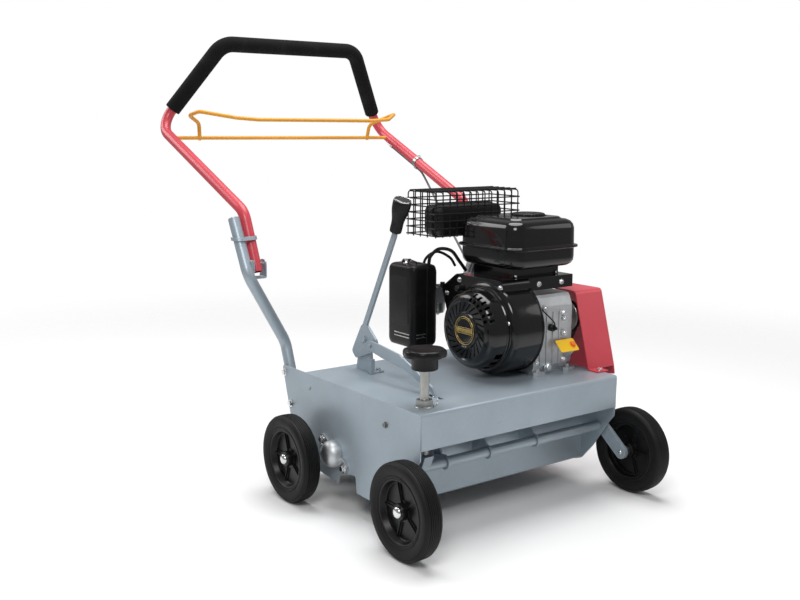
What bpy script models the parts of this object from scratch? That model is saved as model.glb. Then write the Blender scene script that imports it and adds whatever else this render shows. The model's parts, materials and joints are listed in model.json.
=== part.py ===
"""A walk-behind power rake: a steel deck on four wheels, a reel under it, a small engine, a folding handle.

Its front faces -Y, its left side is +X and the ground is z = 0. Every Y below is measured back from the
rear axle. The whole model is moved at the end so that the origin lies under the middle of its box.
"""

import math

import bmesh
import bpy
from mathutils import Matrix, Vector

# Clearances
SEAT = 0.0003
PLAY = 0.0006

# Fasteners
BOLT_RADIUS = 0.004
BOLT_HEAD_RADIUS = 0.0075

# Wheels
WHEEL_RADIUS = 0.100
WHEEL_WIDTH = 0.0433
WHEEL_SIDES = 18
RIM_RADIUS = 0.066
RIM_WIDTH = 0.034
RIM_WALL = 0.004
HUB_RADIUS = 0.017
STUB_RADIUS = 0.006
CAP_PROUD = 0.008
SPACER_RADIUS = 0.011
FRONT_AXLE_Y = -0.4174

# Deck
SHEET = 0.003
DECK_HALF = 0.286
REAR_TRACK = DECK_HALF + 0.0626
FRONT_TRACK = DECK_HALF + 0.047
DECK_TOP = 0.283
DECK_FRONT = -0.406
DECK_REAR = 0.0465
APRON_BOTTOM = 0.2074
FOLD_RADIUS = 0.006
SIDE_REAR = 0.144
SIDE_BOTTOM = 0.051
REAR_PLATE_END = (0.080, 0.203)
FLAP_THICK = 0.004
FLAP_HALF = 0.250
FLAP_BOTTOM = 0.045
FLAP_LAP = 0.030
FLAP_KNEE = (0.106, 0.130)
FLAP_END_Y = 0.116
FRONT_PLATE_Y = -0.3045
FRONT_PLATE_BOTTOM = 0.060

# Front axle, its crank arms and what sets its height
AXLE_TUBE_Y = -0.352
AXLE_TUBE_Z = 0.152
AXLE_TUBE_RADIUS = 0.011
LUG_THICK = 0.005
LUG_RADIUS = 0.0155
LUG_PLACES = (-0.062, 0.078)
ARM_THICK = 0.010
ARM_HALF_WIDTH = 0.016
PULL_ARM_LENGTH = 0.034
PULL_ARM_THICK = 0.005
PIN_RADIUS = 0.004
NOSE_TOP = 0.180
SCREW_X = -0.239
SCREW_Y = -0.356
SCREW_RADIUS = 0.0095
SCREW_TOP = 0.361
NUT_FLAT = 0.0165
NUT_HEIGHT = 0.015
KNOB_RADIUS = 0.0455
KNOB_LOBE = 0.0025
KNOB_LOBES = 8
KNOB_DISC = 0.016
KNOB_HUB_RADIUS = 0.0275
KNOB_HUB = 0.027

# Lift lever
LEVER_X = -0.168
LEVER_PIVOT = (-0.040, 0.362)
LEVER_THICK = 0.006
LEVER_WIDTH = 0.014
GRIP_START = (-0.152, 0.614)
GRIP_END = (-0.180, 0.688)
LINK_PIN = (-0.070, 0.352)
LINK_THICK = 0.005
LINK_SLOT = ((-0.0047, -0.0024), (0.0006, -0.0004))
DECK_SLOT_Y = (-0.334, -0.284)
DECK_SLOT_WIDTH = 0.010
BRACKET_THICK = 0.004

# Handle tubes
TUBE_RADIUS = 0.0135
FOOT_BOLTS = ((0.132, 0.266), (0.105, 0.195))
LOWER_BEND = 0.050
UPPER_BEND = 0.055
LOWER_X = 0.372
UPPER_FOOT = (0.336, 0.170, 0.508)
UPPER_KNEE = (0.341, 0.222, 0.648)
UPPER_ELBOW = (0.354, 0.669, 0.848)
UPPER_CORNER = (0.210, 0.575, 1.066)
FOLD_UP = 0.020
FOAM_RADIUS = 0.0215
FOAM_ROOM = 0.0010
FOAM_FROM = 0.20
EAR_THICK = 0.003
EAR_DEPTH = 0.030
RING_LEVEL = 0.5875
RING_HEIGHT = 0.008
RING_WALL = 0.0025
RING_PLAY = 0.0010
HOOK_PLAY = 0.0032
BAIL_RADIUS = 0.005
BAIL_PIVOT = (0.599, 0.8170)
BAIL_SOCKET = 0.002
BAIL_BEND = 0.022
BAIL_LOOP = (
    (0.276, 0.592, 0.856),
    (0.316, 0.566, 0.876),
    (0.312, 0.515, 0.886),
    (0.240, 0.443, 0.870),
    (0.180, 0.440, 0.866),
)
BAIL_LEG_X = 0.272
CABLE_RADIUS = 0.003

# Engine
CRANK_Y = -0.224
CRANK_Z = 0.395
CASE_X = (0.120, 0.250)
CASE_HALF = 0.075
FOOT_THICK = 0.009
HOUSING_RADIUS = 0.108
HOUSING_X = (0.030, 0.1197)
HOUSING_TOP = CRANK_Z + HOUSING_RADIUS + 0.005
CRANK_SHAFT_RADIUS = 0.0125
CRANK_END_RADIUS = 0.0095
STARTER_RADIUS = 0.092
STARTER_FACE = -0.026
STARTER_WALL = 0.0025
STARTER_CORD = 0.034
STARTER_TURN = 60.0
BADGE_RADIUS = 0.036
FACE_SLOTS = 10
SIDE_SLOTS = 7
CYLINDER_TILT = 25.0
CYLINDER_SEAT = 0.098
CYLINDER_LENGTH = 0.205
FIN_COUNT = 7
TANK_X = (0.058, 0.266)
TANK_Y = (-0.295, -0.092)
TANK_Z = (0.530, 0.645)
TANK_SEAM = 0.577
FUEL_CAP_PLACE = (0.192, -0.195)
FUEL_CAP_RADIUS = 0.040
FUEL_CAP_HEIGHT = 0.013
FUEL_CAP_SUNK = 0.008
FUEL_CAP_ROOM = 0.003
FUEL_CAP_RIDGES = 18
FILTER_X = (-0.040, 0.040)
FILTER_Y = (-0.050, 0.055)
FILTER_Z = (0.321, 0.523)
CARB_Y = 0.004
CARB_Z = 0.440
MUFFLER_X = (0.030, 0.225)
MUFFLER_Y = (-0.068, 0.004)
MUFFLER_Z = (0.588, 0.664)
CAGE_X = (0.002, 0.262)
CAGE_Y = (-0.082, 0.027)
CAGE_Z = (0.590, 0.697)
CAGE_WIRE = 0.0016
CAGE_PITCH = 0.0360
DIPSTICK_X = 0.236
DIPSTICK_TILT = 45.0

# Reel, bearings and belt drive
REEL_Y = -0.088
REEL_Z = 0.122
REEL_HALF = 0.246
REEL_SHAFT_RADIUS = 0.0125
KNIFE_RADIUS = 0.085
KNIFE_WAIST = 0.036
KNIFE_THICK = 0.003
KNIFE_COUNT = 10
KNIFE_STEP = 42.0
BEARING_TILT = 28.0
BEARING_RADIUS = 0.031
BEARING_PROUD = 0.030
BEARING_OPEN_PROUD = 0.0085
BEARING_ROOM = 0.0165
BEARING_BOLT = 0.049
BEARING_END = 0.013
BELT_X = DECK_HALF + 0.020
BELT_WIDTH = 0.010
BELT_DEPTH = 0.008
BELT_LIFT = 0.0015
ENGINE_PULLEY_RADIUS = 0.038
REEL_PULLEY_RADIUS = 0.045
PULLEY_WIDTH = 0.016
IDLER_RADIUS = 0.020
IDLER_GAP = 0.006
IDLER_PIVOT = (-0.030, 0.222)
IDLER_ARM_THICK = 0.004
GUARD_X = (DECK_HALF - 0.022, DECK_HALF + 0.066)
GUARD_TOP = 0.467
GUARD_REAR = -0.135
GUARD_BOTTOM = 0.232
COVER_X = DECK_HALF + 0.037
COVER_MARGIN = 0.003

# Colours: base colour, roughness, metallic
FINISHES = {
    "grey_paint": ((0.50, 0.53, 0.55, 1), 0.45, 0.35),
    "red_paint": ((0.58, 0.045, 0.07, 1), 0.30, 0.0),
    "orange_paint": ((0.80, 0.38, 0.04, 1), 0.35, 0.0),
    "black_paint": ((0.012, 0.012, 0.013, 1), 0.18, 0.0),
    "black_plastic": ((0.018, 0.018, 0.019, 1), 0.45, 0.0),
    "zinc": ((0.62, 0.63, 0.64, 1), 0.32, 1.0),
    "cast_aluminium": ((0.55, 0.56, 0.57, 1), 0.50, 1.0),
    "tyre_rubber": ((0.015, 0.015, 0.015, 1), 0.75, 0.0),
    "foam": ((0.02, 0.02, 0.02, 1), 0.95, 0.0),
    "yellow_plastic": ((0.85, 0.55, 0.02, 1), 0.40, 0.0),
}

PLACES = {}


def material(name):
    """The named finish, made the first time that a piece asks for it."""
    found = bpy.data.materials.get(name)
    if found:
        return found
    colour, roughness, metallic = FINISHES[name]
    made = bpy.data.materials.new(name)
    made.use_nodes = True
    shader = made.node_tree.nodes["Principled BSDF"]
    shader.inputs["Base Color"].default_value = colour
    shader.inputs["Roughness"].default_value = roughness
    shader.inputs["Metallic"].default_value = metallic
    made.diffuse_color = colour
    return made


# Outlines and paths


def arc(centre, radius, start, end, steps):
    """Points on a circle in an outline's plane, from one angle in degrees to another."""
    turns = [math.radians(start + (end - start) * step / steps) for step in range(steps + 1)]
    return [(centre[0] + radius * math.cos(turn), centre[1] + radius * math.sin(turn)) for turn in turns]


def circle(centre, radius, sides=14):
    return arc(centre, radius, 0, 360 - 360 / sides, sides - 1)


def fillet(before, here, after, radius, steps):
    """The points that round one corner of a path."""
    back, ahead = before - here, after - here
    half = back.angle(ahead) / 2
    if radius <= 0 or half > math.radians(89.5):
        return [here]
    reach = min(radius / math.tan(half), 0.48 * back.length, 0.48 * ahead.length)
    middle = here + (back.normalized() + ahead.normalized()).normalized() * reach / math.cos(half)
    first = here + back.normalized() * reach - middle
    last = here + ahead.normalized() * reach - middle
    sweep_angle = math.pi - 2 * half
    points = []
    for step in range(steps + 1):
        share = step / steps
        points.append(
            middle
            + first * (math.sin((1 - share) * sweep_angle) / math.sin(sweep_angle))
            + last * (math.sin(share * sweep_angle) / math.sin(sweep_angle))
        )
    return points


def rounded(corners, radius, steps=2):
    """A closed outline with rounded corners. A corner's third number is its own radius."""
    points = []
    for index, corner in enumerate(corners):
        before = Vector(corners[index - 1][:2])
        after = Vector(corners[(index + 1) % len(corners)][:2])
        own = corner[2] if len(corner) == 3 else radius
        points += [tuple(p) for p in fillet(before, Vector(corner[:2]), after, own, steps)]
    return points


def bent(stops, radius, steps=5):
    """An open path through the stops, with its bends rounded."""
    stops = [Vector(stop) for stop in stops]
    path = [stops[0]]
    for before, here, after in zip(stops, stops[1:], stops[2:]):
        path += fillet(before, here, after, radius, steps)
    return path + [stops[-1]]


def slab(first, second, half_first, half_second=None, steps=4):
    """The outline of a bar with round ends, wider at one end if the two halves differ."""
    half_second = half_first if half_second is None else half_second
    run = Vector(second) - Vector(first)
    heading = math.degrees(math.atan2(run.y, run.x))
    lean = math.degrees(math.asin((half_first - half_second) / run.length))
    head = arc(first, half_first, heading + 90 - lean, heading + 270 + lean, steps)
    return head + arc(second, half_second, heading - 90 + lean, heading + 90 - lean, steps)


def folded(stops, thick, radius, steps=3):
    """The outline of a folded sheet: the stops are its outer side, and its thickness lies to their right."""
    outer = bent(stops, radius, steps)
    flat = [Vector(stop) for stop in stops]
    inner = [flat[0] + side_step(flat[0], flat[1], thick)]
    for before, here, after in zip(flat, flat[1:], flat[2:]):
        first, second = side_step(before, here, 1.0), side_step(here, after, 1.0)
        inner.append(here + (first + second) * thick / (1 + first.dot(second)))
    inner.append(flat[-1] + side_step(flat[-2], flat[-1], thick))
    inner = bent(inner, max(radius - thick, 0.0005), steps)
    return [tuple(p) for p in outer] + [tuple(p) for p in reversed(inner)]


def side_step(start, end, length):
    run = (end - start).normalized()
    return Vector((run.y, -run.x)) * length


# Solids


def spot(axis, first, second, along):
    """A point given in the plane square to an axis, and along that axis."""
    return {"X": (along, first, second), "Y": (first, along, second), "Z": (first, second, along)}[axis]


def solid(shape):
    """A helper object made from the finished shape."""
    bmesh.ops.recalc_face_normals(shape, faces=shape.faces)
    mesh = bpy.data.meshes.new("solid")
    shape.to_mesh(mesh)
    shape.free()
    return held(mesh)


def held(mesh):
    """A hidden helper object that holds a mesh, for the next step to join or cut."""
    helper = bpy.data.objects.new("solid", mesh)
    helper.hide_render = True
    helper.display_type = "WIRE"
    bpy.context.scene.collection.objects.link(helper)
    return helper


def prism(outline, axis, low, high):
    """The outline drawn out along an axis."""
    shape = bmesh.new()
    near = [shape.verts.new(spot(axis, *point, low)) for point in outline]
    far = [shape.verts.new(spot(axis, *point, high)) for point in outline]
    shape.faces.new(near)
    shape.faces.new(reversed(far))
    for index in range(len(outline)):
        ahead = (index + 1) % len(outline)
        shape.faces.new((near[index], near[ahead], far[ahead], far[index]))
    return solid(shape)


def box(x, y, z):
    return prism([(x[0], y[0]), (x[1], y[0]), (x[1], y[1]), (x[0], y[1])], "Z", *z)


def turned(profile, axis, centre, sides=18):
    """A turned solid. The closed profile's points are a radius and a place along the axis from the centre."""
    shape = bmesh.new()
    rings = []
    for radius, along in profile:
        count = sides if radius > 0 else 1
        turns = [2 * math.pi * (step + 0.5) / count - math.pi / 2 for step in range(count)]
        round_places = [(radius * math.cos(turn), radius * math.sin(turn)) for turn in turns]
        rings.append([shape.verts.new(spot(axis, *place, along)) for place in round_places])
    for index, ring in enumerate(rings):
        bridge(shape, rings[index - 1], ring)
    bmesh.ops.translate(shape, vec=Vector(centre), verts=shape.verts)
    return solid(shape)


def bridge(shape, first, second):
    """Faces between two rings of the same size, or between a ring and a point."""
    count = max(len(first), len(second))
    if count == 1:
        return
    for step in range(count):
        ahead = (step + 1) % count
        corners = [first[step % len(first)], first[ahead % len(first)]]
        corners += [second[ahead % len(second)], second[step % len(second)]]
        shape.faces.new(list(dict.fromkeys(corners)))


def rod(start, end, radius, sides=10):
    return swept([start, end], radius, sides)


def rod_across(place, start, end, radius, sides=10):
    """A round bar along X, from one distance to the side to another, through a place in the side view."""
    return rod(along_x(place, start), along_x(place, end), radius, sides)


def swept(path, radius, sides=12, bore=0.0, turn=0.0):
    """A round bar along a path, or a tube if it has a bore."""
    path = [Vector(place) for place in path]
    runs = [(after - before).normalized() for before, after in zip(path, path[1:])]
    headings = [runs[0]] + [(a + b).normalized() for a, b in zip(runs, runs[1:])] + [runs[-1]]
    across = Vector((0, 0, 1)) if abs(runs[0].z) < 0.9 else Vector((0, 1, 0))
    shape = bmesh.new()
    outer, inner = [], []
    for place, heading in zip(path, headings):
        across = (across - heading * across.dot(heading)).normalized()
        square = heading.cross(across)
        for rings, size in ((outer, radius), (inner, bore)):
            turns = [2 * math.pi * step / sides + turn for step in range(sides)] if size else []
            out = [across * math.cos(a) + square * math.sin(a) for a in turns]
            rings.append([shape.verts.new(place + step * size) for step in out])
    for first, second in zip(outer, outer[1:]):
        bridge(shape, first, second)
    if bore:
        for first, second in zip(inner, inner[1:]):
            bridge(shape, first, second)
        bridge(shape, outer[0], inner[0])
        bridge(shape, outer[-1], inner[-1])
    else:
        shape.faces.new(outer[0])
        shape.faces.new(outer[-1])
    return solid(shape)


def lofted(sections, axis="Z"):
    """A skin over closed outlines of the same count, each with its place along the axis."""
    shape = bmesh.new()
    rings = []
    for outline, along in sections:
        rings.append([shape.verts.new(spot(axis, *point, along)) for point in outline])
    for first, second in zip(rings, rings[1:]):
        bridge(shape, first, second)
    shape.faces.new(rings[0])
    shape.faces.new(rings[-1])
    return solid(shape)


def oblong(first, second, inset, radius, steps=4):
    """A rectangle's outline between two ranges, drawn in by the inset, with round corners."""
    low, high = first[0] + inset, first[1] - inset
    near, far = second[0] + inset, second[1] - inset
    return rounded([(low, near), (high, near), (high, far), (low, far)], radius, steps)


def turned_about(helper, place, axis, degrees):
    """The helper turned about a line through a place."""
    place = Vector(place)
    turn = Matrix.Rotation(math.radians(degrees), 4, axis)
    helper.data.transform(Matrix.Translation(place) @ turn @ Matrix.Translation(-place))
    return helper


# Pieces


def fused(shapes, cuts=()):
    """One mesh: the first shape with the others added and the cuts taken away."""
    body = shapes[0]
    steps = [(shape, "UNION") for shape in shapes[1:]] + [(cut, "DIFFERENCE") for cut in cuts]
    for helper, operation in steps:
        step = body.modifiers.new(operation.title(), "BOOLEAN")
        step.object = helper
        step.operation = operation
        step.solver = "EXACT"
    mesh = bpy.data.meshes.new_from_object(body.evaluated_get(bpy.context.evaluated_depsgraph_get()))
    for helper in [body] + [helper for helper, operation in steps]:
        bpy.data.objects.remove(helper)
    return mesh


def pivot(name, place, parent="frame"):
    """An empty that carries a moving body, on its joint's axis."""
    empty = bpy.data.objects.new(name, None)
    empty.empty_display_size = 0.02
    bpy.context.scene.collection.objects.link(empty)
    PLACES[name] = Vector(place)
    if parent in PLACES:
        empty.parent = bpy.data.objects[parent]
        empty.location = PLACES[name] - PLACES[parent]
    return empty


def piece(name, mesh, finish, body, local=False, turn=0.0):
    """One sub-part. Its mesh is in the machine's frame unless it is local to its body's empty."""
    if not local:
        mesh.transform(Matrix.Translation(-PLACES[body]))
    if not mesh.materials:
        mesh.shade_smooth()
        mesh.set_sharp_from_angle(angle=math.radians(32))
        mesh.materials.append(material(finish))
    made = bpy.data.objects.new(name, mesh)
    made.parent = bpy.data.objects[body]
    made.rotation_euler.z = math.radians(turn)
    bpy.context.scene.collection.objects.link(made)
    return made


def along_x(place, x):
    """A place in the side view at a distance to the side."""
    return (x, place[0], place[1])


def span(middle, size):
    return (middle - size / 2, middle + size / 2)


# Deck


def side_panel(side, foot_bolts):
    """One side of the deck, with the reel's notch and every hole through it."""
    outline = rounded(
        [
            (DECK_FRONT, DECK_TOP, FOLD_RADIUS),
            (-0.403, 0.186, 0.004),
            (-0.387, 0.167, 0.010),
            (-0.339, 0.098, 0.020),
            (-0.304, 0.059, 0.012),
            (-0.283, SIDE_BOTTOM, 0.012),
            (-0.100, SIDE_BOTTOM + 0.004, 0.005),
            (0.060, 0.070, 0.030),
            (0.109, 0.171, 0.020),
            (SIDE_REAR, DECK_TOP, 0.006),
        ],
        0.005,
    )
    panel = prism(outline, "X", *sorted((side * (DECK_HALF - SHEET), side * DECK_HALF)))
    reach = (side * (DECK_HALF - 3 * SHEET), side * (DECK_HALF + SHEET))
    notch = rounded([(-0.181, 0.020), (-0.095, 0.020), (-0.105, 0.079), (-0.170, 0.092)], 0.006)
    holes = [
        prism(notch, "X", *sorted(reach)),
        rod_across((REEL_Y, REEL_Z), *reach, REEL_SHAFT_RADIUS + 0.006, 10),
        rod_across((AXLE_TUBE_Y, AXLE_TUBE_Z), *reach, AXLE_TUBE_RADIUS + PLAY, 12),
    ]
    for bolt in foot_bolts:
        holes.append(rod_across(bolt, *reach, BOLT_RADIUS + PLAY, 8))
    return panel, holes


def stub_axle(side):
    """The rear wheel's bolt and the spacer that holds the wheel off the side panel."""
    start = DECK_HALF - SHEET / 2
    inner = REAR_TRACK - RIM_WIDTH / 2 - SEAT
    outer = REAR_TRACK + RIM_WIDTH / 2 + 0.004
    wheel = (0.0, WHEEL_RADIUS)
    return [
        rod_across(wheel, side * start, side * inner, SPACER_RADIUS, 10),
        rod_across(wheel, side * (start + 0.001), side * outer, STUB_RADIUS, 10),
    ]


def build_deck():
    top = folded(
        [(DECK_FRONT, APRON_BOTTOM), (DECK_FRONT, DECK_TOP), (DECK_REAR, DECK_TOP), REAR_PLATE_END],
        SHEET,
        FOLD_RADIUS,
        2,
    )
    shapes = [prism(top, "X", -DECK_HALF + SHEET / 2, DECK_HALF - SHEET / 2)]
    cuts = []
    for side in (-1, 1):
        panel, holes = side_panel(side, FOOT_BOLTS)
        shapes += [panel] + stub_axle(side)
        cuts += holes
    through = (DECK_TOP - 3 * SHEET, DECK_TOP + SHEET)
    slot_x = LEVER_X - LEVER_THICK / 2 - LINK_THICK / 2 - SEAT - PLAY
    cuts.append(box(span(slot_x, DECK_SLOT_WIDTH), DECK_SLOT_Y, through))
    cuts.append(prism(circle((SCREW_X, SCREW_Y), SCREW_RADIUS + 0.001, 20), "Z", *through))
    piece("deck_housing", fused(shapes, cuts), "grey_paint", "frame")


def build_front_plate():
    """The upright plate behind the front axle, with the two lugs whose eyes hold the axle tube."""
    inside = DECK_HALF - SHEET - SEAT
    rear = FRONT_PLATE_Y + SHEET
    sheet = folded(
        [
            (FRONT_PLATE_Y + 0.018, FRONT_PLATE_BOTTOM),
            (FRONT_PLATE_Y, FRONT_PLATE_BOTTOM + 0.001),
            (FRONT_PLATE_Y, DECK_TOP - SHEET - SEAT),
        ],
        SHEET,
        0.004,
    )
    shapes = [prism(sheet, "X", -inside, inside)]
    axle = (AXLE_TUBE_Y, AXLE_TUBE_Z)
    for middle in LUG_PLACES:
        lug = [(rear - 0.001, 0.128)] + arc(axle, LUG_RADIUS, 285, 90, 6)
        lug += [(AXLE_TUBE_Y + 0.020, 0.207), (rear - 0.001, 0.207)]
        shapes.append(prism(lug, "X", *span(middle, LUG_THICK)))
    reach = (LUG_PLACES[0] - LUG_THICK, LUG_PLACES[1] + LUG_THICK)
    bore = rod_across(axle, *reach, AXLE_TUBE_RADIUS + PLAY, 12)
    piece("front_plate", fused(shapes, [bore]), "grey_paint", "frame")


def build_rear_flap():
    """The rubber flap behind the reel, hung on the deck's rear plate."""
    slope = (Vector(REAR_PLATE_END) - Vector((DECK_REAR, DECK_TOP))).normalized()
    out = Vector((-slope.y, slope.x)) * SEAT
    top = Vector(REAR_PLATE_END) - slope * FLAP_LAP + out
    knee = Vector(REAR_PLATE_END) + slope * 0.004 + out
    stops = [tuple(top), tuple(knee), FLAP_KNEE, (FLAP_END_Y, FLAP_BOTTOM)]
    outline = folded(stops, -FLAP_THICK, 0.0, 1)
    piece("rear_flap", fused([prism(outline, "X", -FLAP_HALF, FLAP_HALF)]), "tyre_rubber", "frame")


# Wheels


def tyre_mesh():
    """A solid tyre with its axle along X, flat where it stands on the ground."""
    half = WHEEL_WIDTH / 2
    tread = WHEEL_RADIUS / math.cos(math.pi / WHEEL_SIDES)
    inner = RIM_RADIUS + SEAT
    rim_half = RIM_WIDTH / 2
    near = [(inner, -rim_half), (inner + 0.008, -half), (tread - 0.014, -half)]
    near += [(tread - 0.004, -half + 0.005), (tread, -half + 0.013)]
    profile = near + [(radius, -along) for radius, along in reversed(near)]
    return fused([turned(profile, "X", (0, 0, 0), WHEEL_SIDES)])


def rim_mesh():
    """A dished plastic rim whose domed cap covers the stub's end. Its outer side faces +X."""
    half = RIM_WIDTH / 2
    bore = STUB_RADIUS + PLAY
    cap = half + CAP_PROUD
    web = 0.004
    profile = [
        (bore, -half),
        (HUB_RADIUS, -half),
        (HUB_RADIUS, -web),
        (RIM_RADIUS - RIM_WALL, -web),
        (RIM_RADIUS - RIM_WALL, -half),
        (RIM_RADIUS, -half),
        (RIM_RADIUS, half),
        (RIM_RADIUS - RIM_WALL, half),
        (RIM_RADIUS - RIM_WALL, web),
        (HUB_RADIUS, web),
        (HUB_RADIUS * 0.7, half + 0.003),
        (0, cap),
        (0, cap - 0.003),
        (bore, cap - 0.003),
    ]
    return fused([turned(profile, "X", (0, 0, 0), WHEEL_SIDES)])


def build_wheels():
    tyre, rim = tyre_mesh(), rim_mesh()
    for end, axle_y, track, carrier in (
        ("front", FRONT_AXLE_Y, FRONT_TRACK, "front_axle"),
        ("rear", 0.0, REAR_TRACK, "frame"),
    ):
        for side, turn in (("right", 180.0), ("left", 0.0)):
            body = f"{end}_wheel_{side}"
            sign = 1 if side == "left" else -1
            pivot(body, (sign * track, axle_y, WHEEL_RADIUS), carrier)
            piece(f"tyre_{end}_{side}", tyre, "tyre_rubber", body, True, turn)
            piece(f"rim_{end}_{side}", rim, "black_plastic", body, True, turn)


# Front axle and depth screw


def build_front_axle():
    """The axle tube, the arm that the link pulls and the nose that the depth screw stops."""
    axle = (AXLE_TUBE_Y, AXLE_TUBE_Z)
    pivot("front_axle", along_x(axle, 0.0))
    end = DECK_HALF + 0.0055
    tube = rod_across(axle, -end, end, AXLE_TUBE_RADIUS, 12)
    pin = (AXLE_TUBE_Y + PULL_ARM_LENGTH, AXLE_TUBE_Z)
    link_x = LEVER_X - LEVER_THICK / 2 - SEAT - PLAY - LINK_THICK
    arm_x = (link_x - SEAT - PLAY - PULL_ARM_THICK, link_x - SEAT - PLAY)
    arm = prism(slab(axle, pin, 0.016, 0.009), "X", *arm_x)
    stud = rod_across(pin, arm_x[0] - 0.002, link_x + LINK_THICK + 0.003, PIN_RADIUS, 12)
    nose = prism(
        rounded(
            [
                (AXLE_TUBE_Y + 0.006, AXLE_TUBE_Z),
                (AXLE_TUBE_Y + 0.003, AXLE_TUBE_Z + 0.014),
                (SCREW_Y - 0.002, NOSE_TOP),
                (SCREW_Y - 0.018, NOSE_TOP),
                (AXLE_TUBE_Y - 0.010, AXLE_TUBE_Z - 0.002),
            ],
            0.0,
        ),
        "X",
        *span(SCREW_X, 0.024),
    )
    piece("front_axle_tube", fused([tube, arm, stud, nose]), "grey_paint", "front_axle")
    for side in (-1, 1):
        name = "crank_arm_left" if side > 0 else "crank_arm_right"
        piece(name, fused(crank_arm(side, end + SEAT)), "grey_paint", "front_axle")


def crank_arm(side, start):
    """The arm outside the deck that carries one front wheel's stub."""
    axle, wheel = (AXLE_TUBE_Y, AXLE_TUBE_Z), (FRONT_AXLE_Y, WHEEL_RADIUS)
    outline = slab(axle, wheel, ARM_HALF_WIDTH)
    plate = prism(outline, "X", *sorted((side * start, side * (start + ARM_THICK))))
    middle = side * (start + ARM_THICK / 2)
    boss = rod_across(axle, middle, side * (start + ARM_THICK + 0.006), 0.009, 16)
    inner = FRONT_TRACK - RIM_WIDTH / 2 - SEAT
    outer = FRONT_TRACK + RIM_WIDTH / 2 + 0.004
    spacer = rod_across(wheel, middle, side * inner, SPACER_RADIUS, 10)
    stub = rod_across(wheel, side * (start + 0.006), side * outer, STUB_RADIUS, 10)
    return [plate, boss, spacer, stub]


def build_depth_screw():
    pivot("depth_screw_slide", (SCREW_X, SCREW_Y, DECK_TOP))
    pivot("depth_knob_turn", (SCREW_X, SCREW_Y, SCREW_TOP), "depth_screw_slide")
    journal = 0.006
    screw = turned(
        [
            (0, NOSE_TOP + SEAT),
            (SCREW_RADIUS - 0.001, NOSE_TOP + SEAT),
            (SCREW_RADIUS, NOSE_TOP + SEAT + 0.002),
            (SCREW_RADIUS, SCREW_TOP),
            (journal, SCREW_TOP),
            (journal, SCREW_TOP + 0.016),
            (0, SCREW_TOP + 0.016),
        ],
        "Z",
        (SCREW_X, SCREW_Y, 0),
        20,
    )
    piece("depth_screw", fused([screw]), "zinc", "depth_screw_slide")
    place = (SCREW_X, SCREW_Y)
    nut_low = DECK_TOP + SEAT
    nut = prism(circle(place, NUT_FLAT / math.cos(math.pi / 6), 6), "Z", nut_low, nut_low + NUT_HEIGHT)
    bore = prism(circle(place, SCREW_RADIUS + PLAY, 20), "Z", DECK_TOP - 0.01, DECK_TOP + NUT_HEIGHT + 0.01)
    piece("depth_bush", fused([nut], [bore]), "zinc", "frame")
    low = SCREW_TOP + SEAT
    lobed = []
    steps = KNOB_LOBES * 3
    for step in range(steps):
        turn = 2 * math.pi * step / steps
        reach = KNOB_RADIUS - KNOB_LOBE * (1 - math.cos(KNOB_LOBES * turn)) / 2
        lobed.append((reach * math.cos(turn), reach * math.sin(turn)))
    sections = [
        ([(x * size + SCREW_X, y * size + SCREW_Y) for x, y in lobed], low + KNOB_HUB + height)
        for size, height in ((0.95, 0.0), (1.0, 0.003), (1.0, KNOB_DISC - 0.005), (0.90, KNOB_DISC))
    ]
    hub_top = KNOB_HUB + 0.002
    hub_profile = [(0, 0), (KNOB_HUB_RADIUS, 0), (KNOB_HUB_RADIUS, hub_top), (0, hub_top)]
    hub = turned(
        [(radius, low + height) for radius, height in hub_profile],
        "Z",
        (SCREW_X, SCREW_Y, 0),
        20,
    )
    hole = prism(circle(place, journal + SEAT, 12), "Z", low - 0.01, low + 0.018)
    piece("depth_knob", fused([lofted(sections), hub], [hole]), "black_plastic", "depth_knob_turn")


# Lift lever and link


def build_lever():
    pivot("lift_lever_pivot", along_x(LEVER_PIVOT, LEVER_X))
    layer = span(LEVER_X, LEVER_THICK)
    corners = [(-0.024, 0.392), (-0.042, 0.400), (-0.088, 0.362), (-0.066, 0.334)]
    corners += [(-0.002, 0.310), (0.016, 0.325)]
    plate = prism(rounded(corners, 0.008), "X", *layer)
    bar = prism(slab((-0.033, 0.386), GRIP_START, LEVER_WIDTH / 2), "X", *layer)
    tang = rod(along_x(GRIP_START, LEVER_X), along_x(GRIP_END, LEVER_X), LEVER_THICK * 0.48, 12)
    hole = rod_across(LEVER_PIVOT, LEVER_X - 0.01, LEVER_X + 0.01, BOLT_RADIUS + PLAY, 16)
    pin = rod_across(LINK_PIN, LEVER_X, LEVER_X - LEVER_THICK / 2 - LINK_THICK - 0.004, PIN_RADIUS, 12)
    piece("lift_lever", fused([plate, bar, tang, pin], [hole]), "grey_paint", "lift_lever_pivot")

    start, end = Vector(along_x(GRIP_START, LEVER_X)), Vector(along_x(GRIP_END, LEVER_X))
    length = (end - start).length
    profile = [
        (0.0088, 0.0088),
        (0.0125, 0.008),
        (0.0135, 0.012),
        (0.0135, length * 0.45),
        (0.0185, length * 0.70),
        (0.0205, length * 0.90),
        (0.0200, length + 0.002),
        (0.0150, length + 0.009),
        (0, length + 0.011),
        (0, length + 0.001),
        (0.0088, length + 0.001),
    ]
    grip = turned(profile, "Z", (0, 0, 0), 16)
    lean = math.degrees(math.atan2(-(end.y - start.y), end.z - start.z))
    turned_about(grip, (0, 0, 0), "X", lean)
    grip.data.transform(Matrix.Translation(start))
    piece("lever_grip", fused([grip]), "black_plastic", "lift_lever_pivot")


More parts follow.
